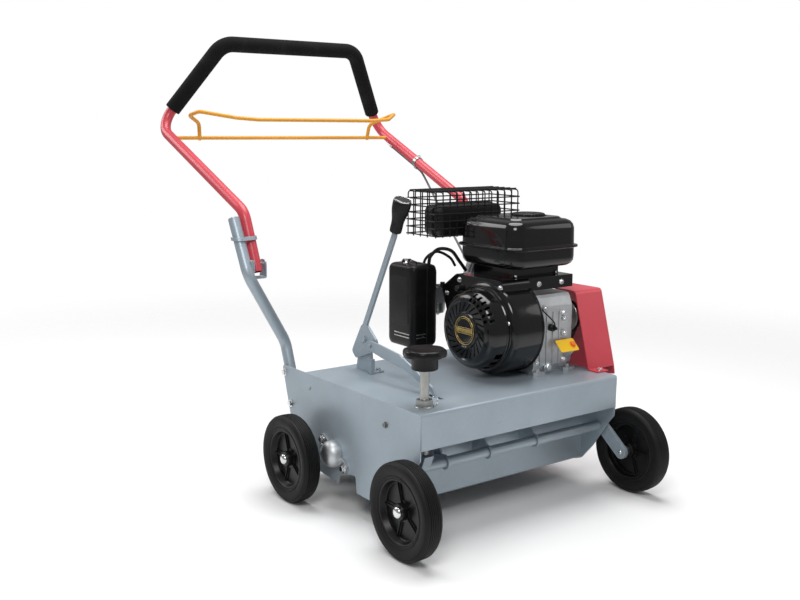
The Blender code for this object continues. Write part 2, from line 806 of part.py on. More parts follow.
def build_lever_bracket():
    """The upright plate that the lever turns on, with its foot, its bolt and the lever's stop."""
    low = LEVER_X + LEVER_THICK / 2 + SEAT
    ground = DECK_TOP + SEAT
    front, rear = -0.066, 0.006
    corners = [(front, ground), (rear, ground), (-0.004, 0.330), (-0.026, 0.374)]
    corners += [(-0.052, 0.374), (-0.058, 0.320)]
    upright = prism(rounded(corners, 0.004), "X", low, low + BRACKET_THICK)
    foot = box((low + 0.001, low + 0.030), (front, rear), (ground, ground + BRACKET_THICK))
    middle = low + BRACKET_THICK / 2
    head_start = LEVER_X - LEVER_THICK / 2 - SEAT
    bolt = rod_across(LEVER_PIVOT, middle, head_start - 0.001, BOLT_RADIUS, 16)
    head = rod_across(LEVER_PIVOT, head_start, head_start - 0.006, BOLT_HEAD_RADIUS, 6)
    stop = box((LEVER_X - 0.004, middle), (-0.068, -0.054), (ground, 0.318))
    piece("lever_bracket", fused([upright, foot, bolt, head, stop]), "grey_paint", "frame")


def build_link():
    """The bent flat bar from the lever down through the deck to the axle's arm."""
    pivot("lift_link_pivot", along_x(LINK_PIN, LEVER_X), "lift_lever_pivot")
    outer = LEVER_X - LEVER_THICK / 2 - SEAT - PLAY
    pin = Vector((AXLE_TUBE_Y + PULL_ARM_LENGTH, AXLE_TUBE_Z))
    eye = [(-0.008, 0.030), (-0.0145, 0.012), (-0.0145, -0.006), (-0.009, -0.011)]
    eye += [(0.006, -0.011), (0.0095, -0.006), (0.0095, 0.012)]
    head = arc(LINK_PIN, 0.012, -80, 90, 4)
    top = [(-0.181, 0.351), (-0.212, 0.339), (-0.300, 0.302), (-0.326, 0.272)]
    low = [tuple(pin + Vector(step)) for step in eye]
    under = [(-0.310, pin.y + 0.030), (-0.310, 0.262), (-0.3075, 0.2825), (-0.296, 0.2910)]
    under += [(-0.200, 0.322), (-0.113, 0.332)]
    bar = prism(head + top + low + under, "X", outer - LINK_THICK, outer)
    hole = rod_across(LINK_PIN, outer - 0.01, outer + 0.01, PIN_RADIUS + PLAY, 16)
    ends = [tuple(pin + Vector(step)) for step in LINK_SLOT]
    slot = prism(slab(*ends, PIN_RADIUS + 2 * PLAY), "X", outer - 0.01, outer + 0.01)
    piece("lift_link", fused([bar], [hole, slot]), "grey_paint", "lift_link_pivot")


# Handle


def lerp(first, second, share):
    return Vector(first).lerp(Vector(second), share)


def mirror_side(place, side):
    return (side * place[0], place[1], place[2])


def fold_pivot():
    """Where the folding bolt crosses the upper tube, a little above its open end."""
    foot, knee = Vector(UPPER_FOOT), Vector(UPPER_KNEE)
    return foot + (knee - foot).normalized() * FOLD_UP


def lower_tube_stops(side):
    """The lower tube's foot, its two bends and its open end."""
    foot_x = DECK_HALF - SHEET - SEAT - TUBE_RADIUS
    stops = [(foot_x, 0.099, 0.179), (foot_x, 0.158, 0.334), (LOWER_X, 0.146, 0.505), (LOWER_X, 0.214, 0.633)]
    return [mirror_side(stop, side) for stop in stops]


def build_lower_handle(side):
    """The grey tube bolted inside the deck's side, with the cradle that the upper tube folds in."""
    tube = swept(bent(lower_tube_stops(side), LOWER_BEND, 3), TUBE_RADIUS, 10)
    bolts = []
    for bolt in FOOT_BOLTS:
        inner, outer = side * (DECK_HALF - SHEET - TUBE_RADIUS), side * (DECK_HALF + SEAT)
        bolts.append(rod_across(bolt, inner, outer + side * 0.002, BOLT_RADIUS, 6))
        bolts.append(rod_across(bolt, outer, outer + side * 0.005, BOLT_HEAD_RADIUS, 6))
    hinge = fold_pivot()
    half = TUBE_RADIUS + 0.0035
    low = hinge.z - TUBE_RADIUS - FOLD_UP
    cradle = folded(
        [
            (hinge.x - half - EAR_THICK, hinge.z + 0.022),
            (hinge.x - half - EAR_THICK, low),
            (hinge.x + half + EAR_THICK, low),
            (hinge.x + half + EAR_THICK, hinge.z + 0.022),
        ],
        -EAR_THICK,
        0.005,
    )
    cradle = [(side * x, z) for x, z in cradle]
    ears = prism(cradle, "Y", *span(hinge.y - 0.004, EAR_DEPTH))
    web_x = sorted((side * (hinge.x + half + 0.001), side * (LOWER_X - 0.006)))
    web = box(web_x, (hinge.y - 0.032, hinge.y - 0.008), (hinge.z - 0.016, hinge.z + 0.012))
    place = (hinge.y, hinge.z)
    outside, inside = hinge.x + half + EAR_THICK, hinge.x - half - EAR_THICK
    bolt = rod_across(place, side * (outside + 0.002), side * (inside - 0.006), BOLT_RADIUS, 8)
    nut = rod_across(place, side * (inside + 0.001), side * (inside - 0.005), BOLT_HEAD_RADIUS, 6)
    name = "lower_handle_left" if side > 0 else "lower_handle_right"
    piece(name, fused([tube, ears, web, bolt, nut] + bolts), "grey_paint", "frame")


def upper_path(side=1):
    return [mirror_side(stop, side) for stop in (UPPER_FOOT, UPPER_KNEE, UPPER_ELBOW, UPPER_CORNER)]


def build_upper_handle():
    hinge = fold_pivot()
    pivot("handle_fold", (0, hinge.y, hinge.z))
    stops = upper_path(-1) + list(reversed(upper_path(1)))
    tube = swept(bent(stops, UPPER_BEND, 3), TUBE_RADIUS, 11)
    bolt_hole = rod((-0.5, hinge.y, hinge.z), (0.5, hinge.y, hinge.z), BOLT_RADIUS + PLAY, 8)
    socket_x = bail_tube_x() - BAIL_SOCKET
    sockets = []
    for side in (-1, 1):
        start, end = side * (socket_x - TUBE_RADIUS), side * socket_x
        sockets.append(rod((start, *BAIL_PIVOT), (end, *BAIL_PIVOT), BAIL_RADIUS + PLAY, 10))
    piece("upper_handle", fused([tube], [bolt_hole] + sockets), "red_paint", "handle_fold")

    start = lerp(UPPER_ELBOW, UPPER_CORNER, FOAM_FROM)
    stops = [mirror_side(start, -1), mirror_side(UPPER_CORNER, -1), UPPER_CORNER, tuple(start)]
    foam = swept(bent(stops, UPPER_BEND, 3), FOAM_RADIUS, 11, TUBE_RADIUS + FOAM_ROOM)
    piece("foam_grip", fused([foam]), "foam", "handle_fold")


def bail_tube_x():
    """How far out the upper tube's middle lies where the bail's rod enters it."""
    knee, elbow = Vector(UPPER_KNEE), Vector(UPPER_ELBOW)
    share = (BAIL_PIVOT[0] - knee.y) / (elbow.y - knee.y)
    return knee.lerp(elbow, share).x


def build_bail():
    """The clutch bail: a rod between the tubes and a bent loop above it."""
    pivot("bail_pivot", (0, *BAIL_PIVOT), "handle_fold")
    end = bail_tube_x() - BAIL_SOCKET - SEAT * 2
    cross = rod((-end, *BAIL_PIVOT), (end, *BAIL_PIVOT), BAIL_RADIUS, 8)
    half = [(BAIL_LEG_X, *BAIL_PIVOT), *BAIL_LOOP]
    path = bent(half + [mirror_side(stop, -1) for stop in reversed(half)], BAIL_BEND, 2)
    piece("clutch_bail", fused([cross, swept(path, BAIL_RADIUS, 7)]), "orange_paint", "bail_pivot")


def ring_place():
    foot, knee = Vector(UPPER_FOOT), Vector(UPPER_KNEE)
    return foot.lerp(knee, (RING_LEVEL - foot.z) / (knee.z - foot.z))


def stretched(outline, middle, factor):
    """The outline drawn out fore and aft, as a level cut through a leaning tube is."""
    return [(x, middle + (y - middle) * factor) for x, y in outline]


def build_locking_ring(side):
    """The band that slides on the upper tube and hooks round the front of the lower tube's end."""
    name = "locking_ring_left" if side > 0 else "locking_ring_right"
    middle = ring_place()
    pivot(name + "_slide", mirror_side(middle, side), "handle_fold")
    stops = lower_tube_stops(1)
    knee, end = Vector(stops[2]), Vector(stops[3])
    other = knee.lerp(end, (RING_LEVEL - knee.z) / (end.z - knee.z))
    slope = 1.10
    inner = TUBE_RADIUS + RING_PLAY
    outer = inner + RING_WALL
    hook_inner = TUBE_RADIUS + HOOK_PLAY
    hook_outer = hook_inner + RING_WALL
    low, high = span(RING_LEVEL, RING_HEIGHT)
    eye = stretched(circle((middle.x, middle.y), outer, 16), middle.y, slope)
    bore = stretched(circle((middle.x, middle.y), inner, 16), middle.y, slope)
    heart = (other.x, other.y)
    bend = arc(heart, hook_outer, -90, 12, 5) + arc(heart, hook_inner, 12, -90, 5)
    run_in = [(middle.x, middle.y - inner - 0.0003), (middle.x, middle.y - outer)]
    hook = stretched(bend, other.y, slope) + stretched(run_in, middle.y, slope)
    shapes = [prism([(side * x, y) for x, y in outline], "Z", low, high) for outline in (eye, hook)]
    cut = prism([(side * x, y) for x, y in bore], "Z", low - 0.01, high + 0.01)
    mesh = fused(shapes, [cut])
    shear = Matrix.Identity(4)
    run = Vector(UPPER_KNEE) - Vector(UPPER_FOOT)
    shear[1][2] = run.y / run.z
    shear[0][2] = side * run.x / run.z
    place = Vector(mirror_side(middle, side))
    mesh.transform(Matrix.Translation(place) @ shear @ Matrix.Translation(-place))
    piece(name, mesh, "grey_paint", name + "_slide")


# Engine


def crank(x):
    return (x, CRANK_Y, CRANK_Z)


def seat_reach(height):
    """How far behind the crank the cylinder's leaning seat lies, at a height above the crank."""
    tilt = math.radians(CYLINDER_TILT)
    return (CYLINDER_SEAT - height * math.sin(tilt)) / math.cos(tilt)


def tilted(reach, height):
    """A place in the side view, given along the leaning cylinder and above its middle line."""
    tilt = math.radians(CYLINDER_TILT)
    return (
        CRANK_Y + reach * math.cos(tilt) - height * math.sin(tilt),
        CRANK_Z + reach * math.sin(tilt) + height * math.cos(tilt),
    )


def build_crankcase():
    low = DECK_TOP + SEAT
    case_outline = rounded(
        [
            (CRANK_Y - CASE_HALF, low + 0.006),
            (CRANK_Y + CASE_HALF + 0.015, low + 0.006),
            (CRANK_Y + seat_reach(-0.030), CRANK_Z - 0.030),
            (CRANK_Y + seat_reach(CASE_HALF), CRANK_Z + CASE_HALF),
            (CRANK_Y - CASE_HALF + 0.012, CRANK_Z + CASE_HALF),
            (CRANK_Y - CASE_HALF, CRANK_Z + CASE_HALF - 0.030),
        ],
        0.014,
    )
    case = prism(case_outline, "X", CASE_X[0], CASE_X[1] - 0.024)
    drawn_in = [(y * 0.96 + CRANK_Y * 0.04, z * 0.97 + CRANK_Z * 0.03) for y, z in case_outline]
    cover_outline = rounded(drawn_in, 0.0)
    cover = prism(cover_outline, "X", CASE_X[1] - 0.030, CASE_X[1] - 0.006)
    flange = prism(case_outline, "X", CASE_X[1] - 0.027, CASE_X[1] - 0.021)
    hub_profile = [(0, 0.0), (0.034, 0.0), (0.030, 0.012), (0.018, 0.013), (0, 0.013)]
    hub = turned(hub_profile, "X", crank(CASE_X[1] - 0.008), 24)
    shapes = [case, cover, flange, hub]
    for edge in (CRANK_Y - CASE_HALF + 0.004, CRANK_Y + CASE_HALF + 0.012):
        for x in (CASE_X[0] + 0.016, CASE_X[1] - 0.018):
            outline = oblong(span(x, 0.038), span(edge, 0.032), 0.0, 0.008, 1)
            shapes.append(prism(outline, "Z", low, low + FOOT_THICK))
            shapes.append(rod((x, edge, low + 0.004), (x, edge, low + FOOT_THICK + 0.006), 0.007, 6))
    sole_y = (CRANK_Y - CASE_HALF + 0.010, CRANK_Y + CASE_HALF)
    shapes.append(box((CASE_X[0] + 0.010, CASE_X[1] - 0.012), sole_y, (low, low + 0.010)))
    base, heading = dipstick_line()
    shapes.append(rod(base - heading * 0.030, base, 0.0130, 12))
    bore = rod(base - heading * 0.012, base + heading * 0.01, 0.0095, 12)
    crank_bore = rod(crank(CASE_X[1] - 0.022), crank(CASE_X[1] + 0.02), CRANK_SHAFT_RADIUS + PLAY, 14)
    piece("engine_crankcase", fused(shapes, [bore, crank_bore]), "cast_aluminium", "frame")


def dipstick_line():
    """The filler's mouth, and the direction that the dipstick draws out in."""
    tilt = math.radians(DIPSTICK_TILT)
    heading = Vector((0, -math.cos(tilt), math.sin(tilt)))
    base = Vector((DIPSTICK_X - 0.010, CRANK_Y - CASE_HALF - 0.014, DECK_TOP + 0.060))
    return base, heading


def build_dipstick():
    base = dipstick_line()[0]
    pivot("dipstick_slide", base)
    profile = [(0, -0.010), (0.008, -0.010), (0.008, SEAT), (0.013, SEAT), (0.013, 0.007), (0.006, 0.009)]
    profile += [(0.006, 0.014), (0, 0.014)]
    cap = turned(profile, "Z", (0, 0, 0), 16)
    turned_about(cap, (0, 0, 0), "X", 90 - DIPSTICK_TILT)
    cap.data.transform(Matrix.Translation(base))
    piece("oil_dipstick", fused([cap]), "yellow_plastic", "dipstick_slide")


def build_cylinder():
    """The finned barrel and head, leaning back from the crankcase."""
    middle = (CASE_X[0] + CASE_X[1]) / 2
    wide = span(middle, 0.112)
    start = CRANK_Y + CYLINDER_SEAT + SEAT
    core = box(span(middle, 0.084), (start, CRANK_Y + CYLINDER_LENGTH), span(CRANK_Z + 0.004, 0.084))
    shapes = [core]
    pitch = (CYLINDER_LENGTH - CYLINDER_SEAT - 0.012) / FIN_COUNT
    for index in range(FIN_COUNT):
        place = start + 0.010 + index * pitch
        outline = oblong(wide, span(CRANK_Z + 0.004, 0.108), 0.0, 0.012, 2)
        shapes.append(prism(outline, "Y", place, place + 0.0035))
    shapes = [turned_about(shape, crank(0), "X", CYLINDER_TILT) for shape in shapes]
    piece("engine_cylinder", fused(shapes), "cast_aluminium", "frame")

    low = CRANK_Y + CYLINDER_LENGTH + SEAT
    sections = [
        (oblong(span(middle, 0.100), span(CRANK_Z + 0.004, 0.088), inset, 0.014), low + depth)
        for inset, depth in ((0.0, 0.0), (0.0, 0.006), (0.005, 0.0062), (0.006, 0.020), (0.012, 0.026))
    ]
    cover = turned_about(lofted(sections, "Y"), crank(0), "X", CYLINDER_TILT)
    piece("valve_cover", fused([cover]), "cast_aluminium", "frame")


def build_blower():
    """The black shroud: a drum round the flywheel with a snout that leads the air over the cylinder."""
    low, high = HOUSING_X
    wall = STARTER_WALL
    drum = turned(
        [
            (STARTER_RADIUS - 0.006, low),
            (HOUSING_RADIUS - 0.010, low),
            (HOUSING_RADIUS - 0.003, low + 0.004),
            (HOUSING_RADIUS, low + 0.012),
            (HOUSING_RADIUS, high),
            (HOUSING_RADIUS - wall, high),
            (HOUSING_RADIUS - wall, low + 0.013),
            (HOUSING_RADIUS - 0.012, low + wall + 0.002),
            (STARTER_RADIUS - 0.006, low + wall),
        ],
        "X",
        crank(0),
        24,
    )
    snout_outline = rounded(
        [
            (CRANK_Y - 0.062, CRANK_Z + 0.070),
            (CRANK_Y - 0.056, HOUSING_TOP),
            (CRANK_Y + 0.105, HOUSING_TOP),
            (CRANK_Y + 0.160, CRANK_Z + 0.075),
            (CRANK_Y + 0.128, CRANK_Z - 0.010),
            (CRANK_Y + 0.085, CRANK_Z - 0.030),
        ],
        0.010,
    )
    snout = prism(snout_outline, "X", low + 0.006, high)
    heart = Vector((CRANK_Y + 0.05, CRANK_Z + 0.05))
    hollow = rounded([tuple(Vector(point).lerp(heart, 0.05)) for point in snout_outline], 0.0)
    room = prism(hollow, "X", low + 0.006 + wall, high + 0.01)
    flywheel_room = rod(crank(low + 0.0152), crank(high + 0.01), HOUSING_RADIUS - wall - 0.0012, 24)
    reach = (high - 0.002, CASE_X[1] + 0.010)
    band_z = (CRANK_Z + CASE_HALF + 0.009, HOUSING_TOP)
    band = box(reach, (CRANK_Y - 0.056, CRANK_Y - 0.056 + wall), band_z)
    lid = box(reach, (CRANK_Y - 0.0555, CRANK_Y + 0.075), (HOUSING_TOP - wall, HOUSING_TOP))
    shell = held(fused([snout, drum], [room, flywheel_room]))
    piece("blower_housing", fused([shell, band, lid]), "black_paint", "frame")


def build_recoil_cover():
    """The starter's dished cover, with slots round its face and its side."""
    low, high = STARTER_FACE, HOUSING_X[0] - SEAT
    wall = STARTER_WALL
    profile = [
        (0, low),
        (BADGE_RADIUS, low),
        (BADGE_RADIUS + 0.002, low + 0.003),
        (STARTER_RADIUS - 0.022, low + 0.004),
        (STARTER_RADIUS - 0.010, low + 0.008),
        (STARTER_RADIUS - 0.003, low + 0.018),
        (STARTER_RADIUS, high - 0.004),
        (STARTER_RADIUS + 0.006, high - 0.003),
        (STARTER_RADIUS + 0.006, high),
        (STARTER_RADIUS - wall, high),
        (STARTER_RADIUS - wall - 0.003, low + 0.019),
        (STARTER_RADIUS - 0.012, low + 0.008 + wall),
        (STARTER_RADIUS - 0.023, low + 0.004 + wall),
        (0, low + 0.004 + wall),
    ]
    shell = turned(profile, "X", crank(0), 22)
    cuts = []
    for index in range(FACE_SLOTS):
        outline = [(0.042, -0.0016), (0.063, -0.0030), (0.063, 0.0030), (0.042, 0.0016)]
        slot = prism([(CRANK_Y + y, CRANK_Z + z) for y, z in outline], "X", low - 0.01, low + 0.012)
        cuts.append(turned_about(slot, crank(0), "X", 360 * index / FACE_SLOTS))
    for index in range(SIDE_SLOTS):
        side_y = (CRANK_Y + STARTER_RADIUS - 0.012, CRANK_Y + STARTER_RADIUS + 0.004)
        slot = box((low + 0.021, high - 0.009), side_y, span(CRANK_Z, 0.016))
        cuts.append(turned_about(slot, crank(0), "X", 105 + index * 17))
    cord_x = low + STARTER_CORD
    cord_eye = rod(crank(cord_x), (cord_x, CRANK_Y + 0.2, CRANK_Z), 0.0038, 10)
    cuts.append(turned_about(cord_eye, crank(0), "X", STARTER_TURN))
    piece("recoil_cover", fused([shell], cuts), "black_paint", "frame")


def build_starter_grip():
    """The pull grip, seated on the side of the starter's cover, with the first of its cord."""
    turn = math.radians(STARTER_TURN)
    heading = Vector((0, math.cos(turn), math.sin(turn)))
    seat = Vector(crank(STARTER_FACE + STARTER_CORD)) + heading * (STARTER_RADIUS + 0.0015)
    pivot("starter_pull", seat)
    stem = rod(seat - heading * 0.010, seat + heading * 0.008, 0.003, 10)
    end = seat + heading * 0.0080
    bar = rod(end - Vector((0.016, 0, 0)), end, 0.0075, 12)
    piece("starter_grip", fused([bar, stem]), "black_plastic", "starter_pull")


def build_tank():
    heights = (
        (0.014, TANK_Z[0]),
        (0.003, TANK_Z[0] + 0.007),
        (0.0, TANK_Z[0] + 0.016),
        (0.0, TANK_SEAM - 0.003),
        (-0.007, TANK_SEAM - 0.0025),
        (-0.007, TANK_SEAM + 0.0025),
        (0.0, TANK_SEAM + 0.003),
        (0.001, TANK_Z[1] - 0.022),
        (0.006, TANK_Z[1] - 0.009),
        (0.016, TANK_Z[1] - 0.002),
        (0.030, TANK_Z[1]),
    )
    layers = [(oblong(TANK_X, TANK_Y, inset, 0.030 - inset * 0.4, 3), height) for inset, height in heights]
    band_y = (TANK_Y[0] + 0.040, TANK_Y[1] - 0.030)
    band = box((TANK_X[0] + 0.030, TANK_X[1] - 0.030), band_y, (HOUSING_TOP + SEAT, TANK_Z[0] + 0.004))
    pocket_low = TANK_Z[1] - FUEL_CAP_SUNK
    rim = circle(FUEL_CAP_PLACE, FUEL_CAP_RADIUS + FUEL_CAP_ROOM, 28)
    pocket = prism(rim, "Z", pocket_low, TANK_Z[1] + 0.01)
    piece("fuel_tank", fused([lofted(layers), band], [pocket]), "black_paint", "frame")
    place = (*FUEL_CAP_PLACE, pocket_low + SEAT)
    pivot("fuel_cap_turn", place)
    sections = []
    for size, height in ((1.0, 0.0), (1.0, FUEL_CAP_HEIGHT - 0.003), (0.90, FUEL_CAP_HEIGHT)):
        outline = []
        for step in range(FUEL_CAP_RIDGES * 2):
            reach = FUEL_CAP_RADIUS * size - (0.0012 if step % 2 else 0.0)
            turn = math.pi * step / FUEL_CAP_RIDGES
            outline.append((place[0] + reach * math.cos(turn), place[1] + reach * math.sin(turn)))
        sections.append((outline, place[2] + height))
    piece("fuel_cap", fused([lofted(sections)]), "black_plastic", "fuel_cap_turn")


def build_air_filter():
    """The air filter's cover, with its lip, and the base that it clips to."""
    start, middle = FILTER_X[0], (FILTER_X[0] + FILTER_X[1]) / 2 + 0.008
    steps = ((0.010, start), (0.002, start + 0.007), (0.0, start + 0.016), (0.0, middle))
    layers = [(oblong(FILTER_Y, FILTER_Z, inset, 0.012 + inset * 0.3, 3), x) for inset, x in steps]
    lip = lofted([(oblong(FILTER_Y, FILTER_Z, -0.002, 0.012, 3), x) for x in (middle - 0.006, middle)], "X")
    piece("air_filter_cover", fused([lofted(layers, "X"), lip]), "black_plastic", "frame")
    steps = ((0.001, middle + SEAT), (0.001, FILTER_X[1] - 0.012), (0.012, FILTER_X[1]))
    base = lofted([(oblong(FILTER_Y, FILTER_Z, inset, 0.012, 3), x) for inset, x in steps], "X")
    piece("air_filter_base", fused([base]), "black_plastic", "frame")


def build_carburettor():
    """The carburettor between the filter and the cylinder, with its choke lever."""
    start = FILTER_X[1] + SEAT
    end = (CASE_X[0] + CASE_X[1]) / 2 - 0.056 - 0.002
    body = box((start + 0.008, end - 0.022), span(CARB_Y, 0.044), span(CARB_Z, 0.040))
    throat = rod((start, CARB_Y, CARB_Z), (end, CARB_Y, CARB_Z), 0.016, 20)
    flange = box((end - 0.004, end), span(CARB_Y, 0.056), span(CARB_Z, 0.036))
    side_x = (CASE_X[0] + CASE_X[1]) / 2 - 0.056 - SEAT
    port = Vector((side_x, *tilted(CYLINDER_LENGTH - 0.013, -0.012)))
    bend_x = (start + end) / 2 + 0.006
    intake = swept(bent([(bend_x, CARB_Y, CARB_Z), (bend_x, port.y, port.z), port], 0.012, 3), 0.012, 10)
    bowl_x = (start + end) / 2 - 0.006
    bowl_profile = [(0, -0.050), (0.012, -0.050), (0.018, -0.044), (0.019, -0.018), (0, -0.018)]
    bowl = turned(bowl_profile, "Z", (bowl_x, CARB_Y, CARB_Z), 20)
    piece("carburettor", fused([body, throat, flange, bowl, intake]), "cast_aluminium", "frame")
    lever_z = CARB_Z + 0.020 + SEAT
    pivot("choke_turn", (bowl_x, CARB_Y, lever_z))
    tip = (bowl_x - 0.012, CARB_Y - 0.034)
    lever = prism(slab((bowl_x, CARB_Y), tip, 0.007, 0.004), "Z", lever_z, lever_z + 0.003)
    knob = prism(circle(tip, 0.006, 12), "Z", lever_z + 0.001, lever_z + 0.014)
    piece("choke_lever", fused([lever, knob]), "black_plastic", "choke_turn")


def build_muffler():
    """The silencer box, with its seam and the pipe down to the cylinder's head."""
    depths = [(0.010, 0.0), (0.0, 0.008), (0.0, 0.034), (-0.003, 0.0345), (-0.003, 0.0395), (0.0, 0.040)]
    depths += [(0.0, 0.068), (0.010, 0.076)]
    front = MUFFLER_Y[0]
    scale = (MUFFLER_Y[1] - front) / depths[-1][1]
    layers = [(oblong(MUFFLER_X, MUFFLER_Z, inset, 0.018, 3), front + y * scale) for inset, y in depths]
    x = (CASE_X[0] + CASE_X[1]) / 2 - 0.020
    reach = CYLINDER_LENGTH - 0.012
    stops = [
        (x, *tilted(reach, 0.058 + SEAT)),
        (x, *tilted(reach, 0.067)),
        (x, sum(MUFFLER_Y) / 2, MUFFLER_Z[0] + 0.010),
    ]
    pipe = swept(bent(stops, 0.015, 3), 0.012, 10)
    piece("muffler", fused([lofted(layers, "Y"), pipe]), "black_paint", "frame")


def build_cage():
    """The wire guard over the silencer: hoops across it, and long wires that join them."""
    wires = []
    long, wide, tall = CAGE_X[1] - CAGE_X[0], CAGE_Y[1] - CAGE_Y[0], CAGE_Z[1] - CAGE_Z[0]
    corners = [(CAGE_Y[0], CAGE_Z[0]), (CAGE_Y[0], CAGE_Z[1]), (CAGE_Y[1], CAGE_Z[1]), (CAGE_Y[1], CAGE_Z[0])]
    hoops = round(long / CAGE_PITCH)
    for index in range(hoops + 1):
        x = CAGE_X[0] + long * index / hoops
        hoop = [along_x(corner, x) for corner in corners]
        wires.append(swept(bent(hoop, 0.006, 1), CAGE_WIRE, 3, 0.0, 0.4))
    step = CAGE_WIRE * 1.2
    long_places = []
    rows = round(tall / CAGE_PITCH)
    for row in range(rows):
        z = CAGE_Z[0] + 0.004 + tall * row / rows
        long_places += [(CAGE_Y[0] - step, z), (CAGE_Y[1] + step, z)]
    across = round(wide / CAGE_PITCH)
    for index in range(across):
        y = CAGE_Y[0] + wide * (index + 0.5) / across
        long_places.append((y, CAGE_Z[1] + step))
    for y, z in long_places:
        wires.append(swept([(CAGE_X[0] - 0.003, y, z), (CAGE_X[1] + 0.003, y, z)], CAGE_WIRE, 3, 0.0, 0.2))
    for x in (CAGE_X[0] - step, CAGE_X[1] + step):
        for row in range(1, rows):
            z = CAGE_Z[0] + 0.0065 + tall * row / rows
            level = [(x, CAGE_Y[0] - 0.002, z), (x, CAGE_Y[1] + 0.002, z)]
            wires.append(swept(level, CAGE_WIRE, 3, 0.0, 0.3))
        for index in range(1, across):
            y = CAGE_Y[0] + wide * index / across
            upright = [(x - step / 2, y, CAGE_Z[0]), (x - step / 2, y, CAGE_Z[1] + 0.001)]
            wires.append(swept(upright, CAGE_WIRE, 3, 0.0, 0.1))
    row_z = CAGE_Z[0] + 0.004 + tall / rows
    for x in (MUFFLER_X[0] + 0.035, MUFFLER_X[1] - 0.035):
        wires.append(box(span(x, 0.014), (MUFFLER_Y[1] + SEAT, CAGE_Y[1] + step), span(row_z, 0.010)))
    piece("muffler_cage", fused(wires), "black_paint", "frame")


# Reel, bearings and belt drive


def reel(x):
    return (x, REEL_Y, REEL_Z)


def build_reel():
    """The shaft with its fixed three-pointed knives, each turned on from the last, and their spacers."""
    pivot("reel_spin", reel(0))
    left_end = BELT_X + PULLEY_WIDTH / 2 - 0.001
    right_end = DECK_HALF + 0.014
    shaft = rod(reel(-right_end), reel(left_end), REEL_SHAFT_RADIUS, 14)
    shapes = [shaft, rod(reel(-REEL_HALF), reel(REEL_HALF), REEL_SHAFT_RADIUS + 0.006, 6)]
    for index in range(KNIFE_COUNT):
        x = -REEL_HALF + 0.010 + (2 * REEL_HALF - 0.020) * index / (KNIFE_COUNT - 1)
        points = []
        for tip in range(3):
            turn = 120 * tip
            points += arc((0, 0), KNIFE_RADIUS, turn - 5, turn + 5, 1)
            points += arc((0, 0), KNIFE_WAIST, turn + 60, turn + 60, 1)[:1]
        knife = prism([(REEL_Y + y, REEL_Z + z) for y, z in points], "X", *span(x, KNIFE_THICK))
        shapes.append(turned_about(knife, reel(0), "X", KNIFE_STEP * index))
    piece("reel", fused(shapes), "zinc", "reel_spin")
    wheel = pulley(REEL_PULLEY_RADIUS, (REEL_Y, REEL_Z), REEL_SHAFT_RADIUS + SEAT)
    piece("reel_pulley", wheel, "zinc", "reel_spin")


def pulley(radius, place, bore):
    """A grooved pulley. The belt rides on the groove's flanks, clear of its floor."""
    half = PULLEY_WIDTH / 2
    floor = radius - BELT_DEPTH - BELT_LIFT
    groove = BELT_WIDTH / 2 + SEAT
    profile = [
        (bore, -half),
        (radius, -half),
        (radius, -groove),
        (floor, -groove + 0.001),
        (floor, groove - 0.001),
        (radius, groove),
        (radius, half),
        (bore, half),
    ]
    return fused([turned(profile, "X", along_x(place, BELT_X), 18)])


def build_engine_pulley():
    """The pulley and the crankshaft's end, which turn together."""
    pivot("crank_spin", crank(BELT_X))
    wheel = pulley(ENGINE_PULLEY_RADIUS, (CRANK_Y, CRANK_Z), CRANK_END_RADIUS + SEAT)
    piece("engine_pulley", wheel, "zinc", "crank_spin")
    start = CASE_X[1] - 0.021
    shoulder = BELT_X - PULLEY_WIDTH / 2 - SEAT
    end = BELT_X + PULLEY_WIDTH / 2 + 0.004
    profile = [(0, start), (CRANK_SHAFT_RADIUS, start), (CRANK_SHAFT_RADIUS, shoulder)]
    profile += [(CRANK_END_RADIUS, shoulder), (CRANK_END_RADIUS, end), (0, end)]
    piece("crankshaft", fused([turned(profile, "X", crank(0), 20)]), "zinc", "crank_spin")


def belt_tangents(extra):
    """The belt's outline round both pulleys, at a distance from the pulleys' floors."""
    inward = extra - BELT_DEPTH
    radii = (ENGINE_PULLEY_RADIUS + inward, REEL_PULLEY_RADIUS + inward)
    return slab((CRANK_Y, CRANK_Z), (REEL_Y, REEL_Z), *radii, 10)


def build_belt():
    band = prism(belt_tangents(BELT_DEPTH), "X", *span(BELT_X, BELT_WIDTH - 0.003))
    inside = prism(belt_tangents(0.0), "X", *span(BELT_X, 2 * BELT_WIDTH))
    piece("drive_belt", fused([band], [inside]), "tyre_rubber", "frame")


